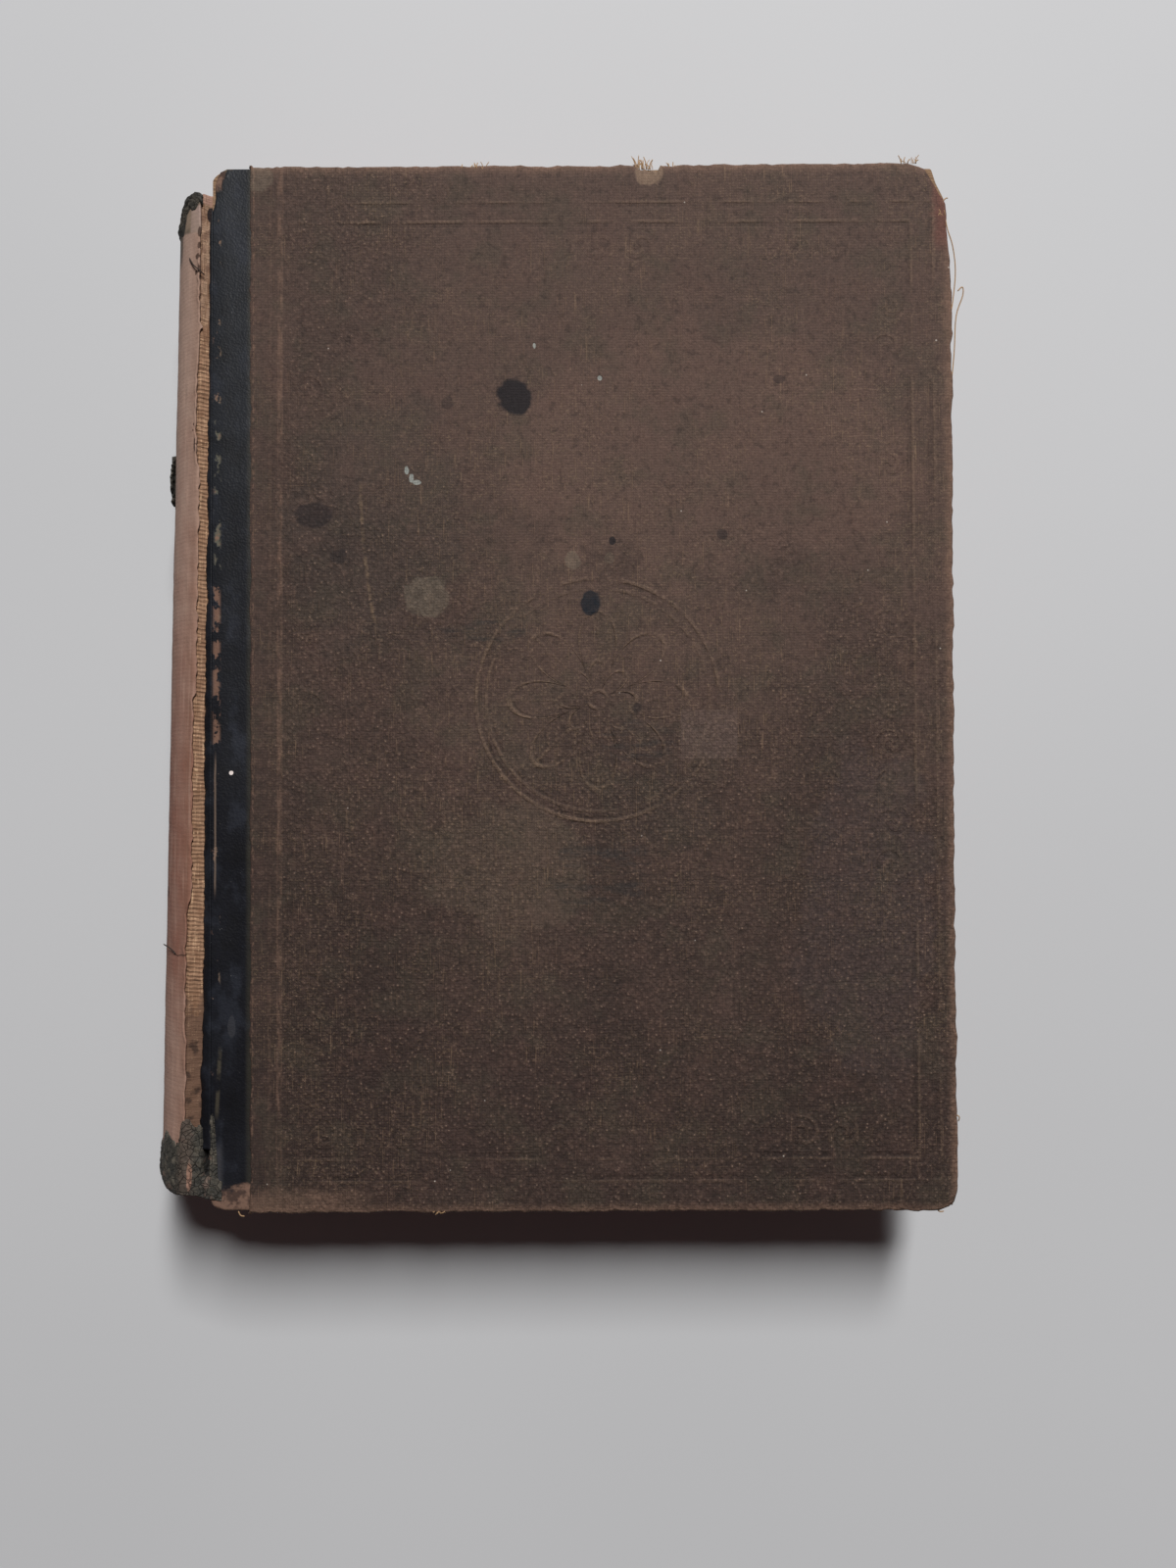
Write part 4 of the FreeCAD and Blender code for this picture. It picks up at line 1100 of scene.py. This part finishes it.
def mull_finish(name, sizes, colours, front):
    """Coarse open canvas: threads across the joint a set pitch apart, finer ones along it, glue and dirt."""
    f = Finish(name, Roughness=0.9, Specular_IOR_Level=0.2)
    pitch = sizes.mull_pitch / MM
    mid, fine = f.noise(2.4, detail=3), f.noise(0.35, shift=4)
    drift = f.noise(1.6, 5, 1, shift=8) * 4.0 + f.x * 0.5
    cross = f.wave(f.y * (2 * math.pi / pitch) + drift)
    fibre = f.noise(2.0, 0.22, 1, detail=2, shift=14)
    along = f.noise(0.25, 3.5, 1, detail=2, shift=15)
    plain = f.y.rise(60, 68).most(f.y.rise(-56, -66)) if front else 0.0
    thread = (cross * (0.34 - plain * 0.28) + fibre * 0.5 + along * 0.45 - 0.1).rise(0.2, 0.8)
    f.base = f.mix(1 - thread, colours.mull, srgb(104, 78, 61))
    f.lay(mid.rise(0.42, 0.66) * 0.55, srgb(112, 82, 62))
    f.lay((fibre + along - 1.0).rise(0.12, 0.3) * 0.7, srgb(196, 164, 132))
    if front:
        head = f.y.rise(66, 74) * along.rise(0.35, 0.6)
        f.lay(head * 0.55, srgb(166, 140, 120))
        f.lay(f.y.rise(66, 74) * (along + mid - 1).rise(0.02, 0.12) * 0.7, srgb(96, 70, 58))
        # Painted shade: a near-black spot for a hole by the head cap's torn edge
        hole = f.blot(4.2, 90.6, 0.9, 1.5, 0.4, mid)
        f.lay(hole, srgb(34, 27, 27))
        f.lay(f.y.rise(92.2, 92.8) * 0.7, srgb(150, 118, 106))
        remains = (f.y + 62 + (mid - 0.5) * 26).rise(2, -2)
        f.lay(remains * (0.35 + fine * 0.9), srgb(92, 70, 58))
        f.lay(remains * mid.rise(0.52, 0.66) * 0.8, srgb(50, 38, 33))
    return f.finish(f.shade(f.base, 0.92 + (fine - 0.5) * 0.4), thread + fine * 0.4, 0.14)


def covering_finish(name, colours):
    """Old covering: cracked grey-green skin with pinkish backing where it has flaked, and painted shade in
    the groove beside the board at the tail.
    """
    f = Finish(name, Roughness=0.75, Specular_IOR_Level=0.3)
    mid, fine = f.noise(2.2, detail=4, rough=0.65), f.noise(0.5, detail=2, shift=5)
    crack = f.cells("DISTANCE_TO_EDGE", 0.75).rise(0.06, 0.0)
    f.base = f.mix(mid.rise(0.42, 0.66), colours.covering, srgb(84, 79, 70))
    band = (f.x - TIP_ARC).line(0.2, 2.2) * f.y.rise(-60, -70)
    f.lay(band * 0.7, srgb(82, 70, 62))
    flaked = f.noise(2.6, detail=3, shift=15).rise(0.62, 0.70)
    f.lay(flaked * 0.6, srgb(120, 100, 90))
    bare = f.blot(TIP_ARC + 1.1, -94.2, 0.5, 2.8, 0.6, mid)
    f.lay(bare * 0.8, srgb(146, 112, 96))
    skin = f.y.rise(-95.4, -97.6) * 0.4 + f.y.rise(93.4, 94.4) * 0.3
    f.lay(skin, srgb(38, 37, 35))
    # Dark cracks, and painted shade in the tail groove, darker where it lies deeper
    f.lay((crack * 0.6).most(f.z), srgb(20, 18, 17))
    return f.finish(f.shade(f.base, 0.85 + (fine - 0.5) * 1.0), mid * 1.3 + fine * 0.6 - crack * 0.7, 0.22)


def paper_finish(name, colours):
    """Aged endpaper: mottled, browner towards its edges, with a little foxing."""
    f = Finish(name, "object", Roughness=0.85, Specular_IOR_Level=0.3)
    wide, fine = f.noise(40, detail=4), f.noise(0.5, detail=2, shift=3)
    rim = abs(f.y).rise(78, 99).most(abs(f.x).rise(56, 72))
    fox = f.noise(2.4, detail=2, shift=12).rise(0.68, 0.76)
    f.base = f.mix(rim * 0.55 + (wide - 0.5) * 0.8, colours.paper, srgb(170, 140, 100))
    f.lay(fox * 0.45, srgb(142, 100, 62))
    return f.finish(f.shade(f.base, 0.94 + (fine - 0.5) * 0.14), fine + wide, 0.03)


def board_finish(name, colours):
    """Binder's board: grey-brown pulp with fibres and flecks."""
    f = Finish(name, "object", Roughness=0.92, Specular_IOR_Level=0.2)
    fibre, fine = f.noise(3, 0.4, 0.4, detail=3), f.noise(0.5, detail=3, shift=6)
    f.base = f.mix(fibre.rise(0.35, 0.7), colours.board, srgb(104, 82, 64))
    return f.finish(f.shade(f.base, 0.85 + (fine - 0.5) * 0.6), fibre + fine, 0.1)


def pages_finish(name, colours):
    """Page edges: leaf upon leaf in fine lines, dull red, worn paler and dirtier in places."""
    f = Finish(name, "object", Roughness=0.82, Specular_IOR_Level=0.3)
    leaf = f.noise(60, 60, 0.16, detail=2)
    gather = f.noise(90, 90, 1.3, detail=2, shift=6)
    wide, fine = f.noise(18, 18, 5, detail=3, shift=9), f.noise(0.8, 0.8, 0.3, shift=2)
    f.base = f.mix(wide.rise(0.38, 0.70) * 0.5, colours.page_edge, srgb(150, 92, 76))
    f.lay(leaf.rise(0.56, 0.70) * 0.45, srgb(168, 122, 98))
    f.lay(gather.rise(0.60, 0.66) * 0.4, srgb(64, 28, 26))
    return f.finish(f.shade(f.base, 0.9 + (fine - 0.5) * 0.35), leaf * 1.2 + gather + fine * 0.3, 0.12)


def plain_fibre(name, rgb):
    """Thread and cord: a fibrous twist in one tone."""
    f = Finish(name, "object", Roughness=0.9, Specular_IOR_Level=0.25)
    twist = f.noise(0.5, 0.5, 0.25, detail=2)
    return f.finish(f.shade(srgb(*rgb), 0.7 + twist * 0.6), twist, 0.08)


# OPERATORS


class BOOK_OT_cover_cloth(bpy.types.Operator):
    """Makes the brown cloth over both boards"""

    bl_idname = "book.cover_cloth"
    bl_label = "Cover Cloth"

    def execute(self, context):
        sizes, colours = context.scene.book_sizes, context.scene.book_colours
        for side in ("front", "back"):
            front = side == "front"
            skin = cloth_sheet(sizes, front, cloth_finish(f"book_cloth_{side}", sizes, colours, front))
            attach(skin, f"{side}_cover")
            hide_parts(f"{side}_cloth")
        return {"FINISHED"}


class BOOK_OT_spine_strips(bpy.types.Operator):
    """Makes the leather-cloth strips along the boards' spine edges"""

    bl_idname = "book.spine_strips"
    bl_label = "Spine Strips"

    def execute(self, context):
        sizes, colours = context.scene.book_sizes, context.scene.book_colours
        for side in ("front", "back"):
            front = side == "front"
            finish = strip_finish(f"leather_cloth_{side}", colours, front)
            skin = strip_sheet(sizes, front, finish)
            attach(skin, f"{side}_cover")
            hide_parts(f"{side}_spine_strip")
            if front:
                flap = strip_flap(finish)
                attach(flap, "front_cover")
        return {"FINISHED"}


class BOOK_OT_text_block(bpy.types.Operator):
    """Makes the pages with their red edges"""

    bl_idname = "book.text_block"
    bl_label = "Text Block"

    def execute(self, context):
        finish = pages_finish("page_edges", context.scene.book_colours)
        block = page_block(finish)
        for piece in [block] + shoulders(finish):
            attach(piece, "text_block")
        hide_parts("text_block")
        return {"FINISHED"}


class BOOK_OT_spine(bpy.types.Operator):
    """Makes the spine lining and the mull round the spine and in both joints"""

    bl_idname = "book.spine"
    bl_label = "Spine Lining and Mull"

    def execute(self, context):
        sizes, colours = context.scene.book_sizes, context.scene.book_colours
        lining = lining_sheet(lining_finish("spine_lining", colours))
        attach(lining, "text_block")
        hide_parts("spine_lining")
        plain = mull_finish("mull_back", sizes, colours, False)
        hidden = far_mull(plain)
        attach(hidden, "text_block")
        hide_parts("spine_mull")
        for side in ("front", "back"):
            front = side == "front"
            mull = mull_sheet(front, mull_finish("mull_front", sizes, colours, True) if front else plain)
            blend_joint(mull, front)
        return {"FINISHED"}


def blend_joint(piece, front):
    """Bakes a piece's transform into its mesh."""
    at = np.array([front_edge(0.0) if front else SPINE_EDGE, 0.0, MIDDLE_Z])
    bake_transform(piece)


class BOOK_OT_old_covering(bpy.types.Operator):
    """Makes what is left of the spine's covering: two caps and a scrap"""

    bl_idname = "book.old_covering"
    bl_label = "Old Covering"

    def execute(self, context):
        finish = covering_finish("old_covering", context.scene.book_colours)
        head = cap_sheet("head_cap_skin", 1, HEAD_CAP, finish, 121)
        tail = cap_sheet("tail_cap_skin", -1, TAIL_CAP, finish, 126)
        scrap = scrap_sheet(finish)
        for piece, node in ((head, "head_cap"), (tail, "tail_cap"), (scrap, "spine_scrap")):
            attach(piece, "text_block")
            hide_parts(node)
        bridge = tail_bridge(finish)
        blend_joint(bridge, True)
        return {"FINISHED"}


class BOOK_OT_inner_papers(bpy.types.Operator):
    """Finishes the endpapers, boards, mull flanges and cords, and makes the endpapers' folds"""

    bl_idname = "book.inner_papers"
    bl_label = "Boards and Endpapers"

    def execute(self, context):
        colours = context.scene.book_colours
        paper = paper_finish("endpaper", colours)
        finishes = {
            "pastedown": paper,
            "flyleaf": paper,
            "board": board_finish("binders_board", colours),
            "mull_flange": board_finish("mull_flange", colours),
            "sewing_cord": plain_fibre("sewing_cord", (150, 128, 96)),
        }
        for name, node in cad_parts.items():
            for part, finish in finishes.items():
                if part in name:
                    node.data.materials.clear()
                    node.data.materials.append(finish)
        for side in ("front", "back"):
            front = side == "front"
            hinge = paper_hinge(front, paper)
            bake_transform(hinge)
        return {"FINISHED"}


THREAD = 0.12  # radius
LOOSE_THREADS = (
    # x, y and height from the front cover's outer face, along each thread
    [(70.2, 92.6, -0.4), (70.8, 88, -0.4), (71.9, 84.5, -0.6), (72.5, 80, -0.9), (72.1, 75, -0.9)]
    + [(71.2, 70, -0.5)],
    [(71.4, 57, -0.9), (72.2, 64, -1.2), (72.7, 71, -1.4), (74.1, 75.2, -1.6), (74.0, 76.8, -1.5)]
    + [(72.9, 75.8, -1.2)],
    [(69.6, 92.5, -0.4), (70.6, 93.6, -0.6), (71.2, 93.9, -0.9)],
    [(66.9, -99.6, -0.6), (67.6, -100.3, -0.8), (68.6, -100.4, -1.2)],
    [(70.8, -82, -0.8), (71.6, -82.6, -1.0), (71.5, -83.6, -1.5)],
    [(-65.4, -99.7, -0.8), (-65.0, -100.6, -1.0), (-64.3, -100.9, -1.4)],
)
TUFTS = (
    # x, y, spread along x, number of strands, length of the strands
    (-20.5, 99.3, 2.6, 11, 0.8),
    (12.6, 99.3, 1.8, 26, 1.25),
    (17.2, 99.4, 1.6, 7, 0.8),
    (63.6, 100.2, 1.6, 12, 0.8),
    (-27, -99.6, 1.6, 7, 0.8),
    (69.6, 90, 1.0, 6, 0.8),
)
SPINE_THREADS = (
    # along the arc from the shoulder's tip, out from the pages, y: a stitch in the joint and a hair
    [(-3.2, 1.05, 82.6), (-1.4, 1.25, 80.6), (0.2, 1.35, 79.2), (1.1, 1.2, 78.2)],
    [(-3.0, 1.0, -52.6), (-5.0, 1.3, -51.6), (-7.5, 1.9, -51.0)],
)


def on_front(x, y, height):
    """A point on the front cover, heights from its outer face."""
    return place_cover(np.array(x, float), np.array(y, float), np.array(COVER + height, float), True)


class BOOK_OT_loose_threads(bpy.types.Operator):
    """Makes the frayed threads along the front cloth's edges and the joint"""

    bl_idname = "book.loose_threads"
    bl_label = "Loose Threads"

    def execute(self, context):
        tan = plain_fibre("frayed_thread", (150, 122, 92))
        dark = plain_fibre("dark_thread", (48, 40, 36))
        rng = np.random.default_rng(171)
        pieces = [
            tube(f"loose_thread_{i + 1}", [on_front(*p) for p in path], THREAD, tan)
            for i, path in enumerate(LOOSE_THREADS)
        ]
        for number, (x, y, spread, count, long) in enumerate(TUFTS):
            strands = []
            for _ in range(count):
                at = x + rng.uniform(-spread, spread)
                reach = rng.uniform(0.7, 2.4) * (1 if y > 0 else -0.6) * long
                lean = rng.uniform(-0.9, 0.9)
                path = [
                    on_front(at, y, -0.25),
                    on_front(at + lean * 0.3, y + reach * 0.5, -0.05 - rng.uniform(0, 0.4)),
                    on_front(at + lean, y + reach, -0.2 - rng.uniform(0, 0.9)),
                ]
                strands.append(tube("strand", path, rng.uniform(0.06, 0.11), tan, 5))
            pieces.append(joined(f"edge_tuft_{number + 1}", strands))
        for piece in pieces:
            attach(piece, "front_cover")
        for i, path in enumerate(SPINE_THREADS):
            path = [round_spine(TIP_ARC + arc, out, y) for arc, out, y in path]
            piece = tube(f"spine_thread_{i + 1}", path, THREAD, dark)
            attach(piece, "text_block")
        return {"FINISHED"}


def joined(name, parts):
    """Several objects as one, all at the origin."""
    bm = bmesh.new()
    for part in parts:
        bm.from_mesh(part.data)
    kept = parts[0]
    bm.to_mesh(kept.data)
    bm.free()
    for part in parts[1:]:
        bpy.data.objects.remove(part)
    kept.name = kept.data.name = name
    return kept


LAMP_PLACE, LAMP_SIZE = (0.30, 1.42, 1.77), (0.38, 0.92)  # metres
SENSOR, FOCUS = 36.0, 1202 / 1600  # millimetres, and the lens as a part of the sensor
EYE = (1.735, -23.498, 224.198)  # millimetres, the last from the book's top
EYE_TURN = (1.16, 0.025, 0.714)  # degrees


class BOOK_OT_stage(bpy.types.Operator):
    """Makes the pale table, the lamp, the light all round and the camera"""

    bl_idname = "book.stage"
    bl_label = "Stage"

    def execute(self, context):
        scene = context.scene
        scene.view_settings.view_transform = "Standard"
        f = Finish("table_top", "object", Roughness=0.6, Specular_IOR_Level=0.12)
        pale = scene.book_colours.floor
        f.finish(f.mix(f.noise(160, detail=1).rise(0.3, 0.7), pale, [v * 0.97 for v in pale]))
        grid = np.stack(np.meshgrid([-3000.0, 3000.0], [-3000.0, 3000.0], [-0.02]), -1).reshape(-1, 3)
        floor = make_mesh("table_top", grid, grid_faces(2, 2), grid, f.material)
        if floor.data.polygons[0].normal.z < 0:
            floor.data.flip_normals()
        lamp = bpy.data.lights.new("lamp", "AREA")
        lamp.shape, (lamp.size, lamp.size_y) = "RECTANGLE", LAMP_SIZE
        lamp.energy = scene.book_light.key_power
        lamp.color = (1.0, 0.985, 0.965)
        holder = bpy.data.objects.new("lamp", lamp)
        scene.collection.objects.link(holder)
        x, y, z = holder.location = LAMP_PLACE
        holder.rotation_euler = (math.atan2(math.hypot(x, y), z), 0, math.atan2(x, -y))
        world = bpy.data.worlds.new("room")
        world.use_nodes = True
        room = world.node_tree.nodes["Background"].inputs
        room["Color"].default_value = (1.0, 0.70, 0.68, 1.0)
        room["Strength"].default_value = scene.book_light.fill
        scene.world = world
        camera = bpy.data.cameras.new("camera")
        camera.sensor_fit, camera.sensor_width, camera.lens = "AUTO", SENSOR, SENSOR * FOCUS
        camera.clip_start = 0.01
        eye = bpy.data.objects.new("camera", camera)
        scene.collection.objects.link(eye)
        eye.location = (EYE[0] * MM, EYE[1] * MM, EYE[2] * MM + BOOK_TOP * MM)
        eye.rotation_euler = tuple(math.radians(v) for v in EYE_TURN)
        scene.camera = eye
        return {"FINISHED"}


STEPS = (
    BOOK_OT_stage,
    BOOK_OT_text_block,
    BOOK_OT_spine,
    BOOK_OT_old_covering,
    BOOK_OT_cover_cloth,
    BOOK_OT_spine_strips,
    BOOK_OT_inner_papers,
    BOOK_OT_loose_threads,
)


class BOOK_PT_sidebar(bpy.types.Panel):
    """Lists the book's sizes, colours and steps"""

    bl_idname = "BOOK_PT_sidebar"
    bl_label = "Worn Hardback Book"
    bl_space_type = "VIEW_3D"
    bl_region_type = "UI"
    bl_category = "Book"

    def draw(self, context):
        for group in (context.scene.book_sizes, context.scene.book_colours, context.scene.book_light):
            box = self.layout.box()
            for name in group.__annotations__:
                box.prop(group, name)
        for step in STEPS:
            self.layout.operator(step.bl_idname)


GROUPS = {"book_sizes": BookSizes, "book_colours": BookColours, "book_light": BookLight}


def register():
    for kind in (*GROUPS.values(), *STEPS, BOOK_PT_sidebar):
        bpy.utils.register_class(kind)
    for name, kind in GROUPS.items():
        setattr(bpy.types.Scene, name, bpy.props.PointerProperty(type=kind))


def unregister():
    for name in GROUPS:
        delattr(bpy.types.Scene, name)
    for kind in (BOOK_PT_sidebar, *reversed(STEPS), *reversed(GROUPS.values())):
        bpy.utils.unregister_class(kind)


def main():
    register()
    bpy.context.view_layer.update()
    bpy.ops.book.stage()
    bpy.ops.book.text_block()
    bpy.ops.book.spine()
    bpy.ops.book.old_covering()
    bpy.ops.book.cover_cloth()
    bpy.ops.book.spine_strips()
    bpy.ops.book.inner_papers()
    bpy.ops.book.loose_threads()


if __name__ == "__main__":
    main()
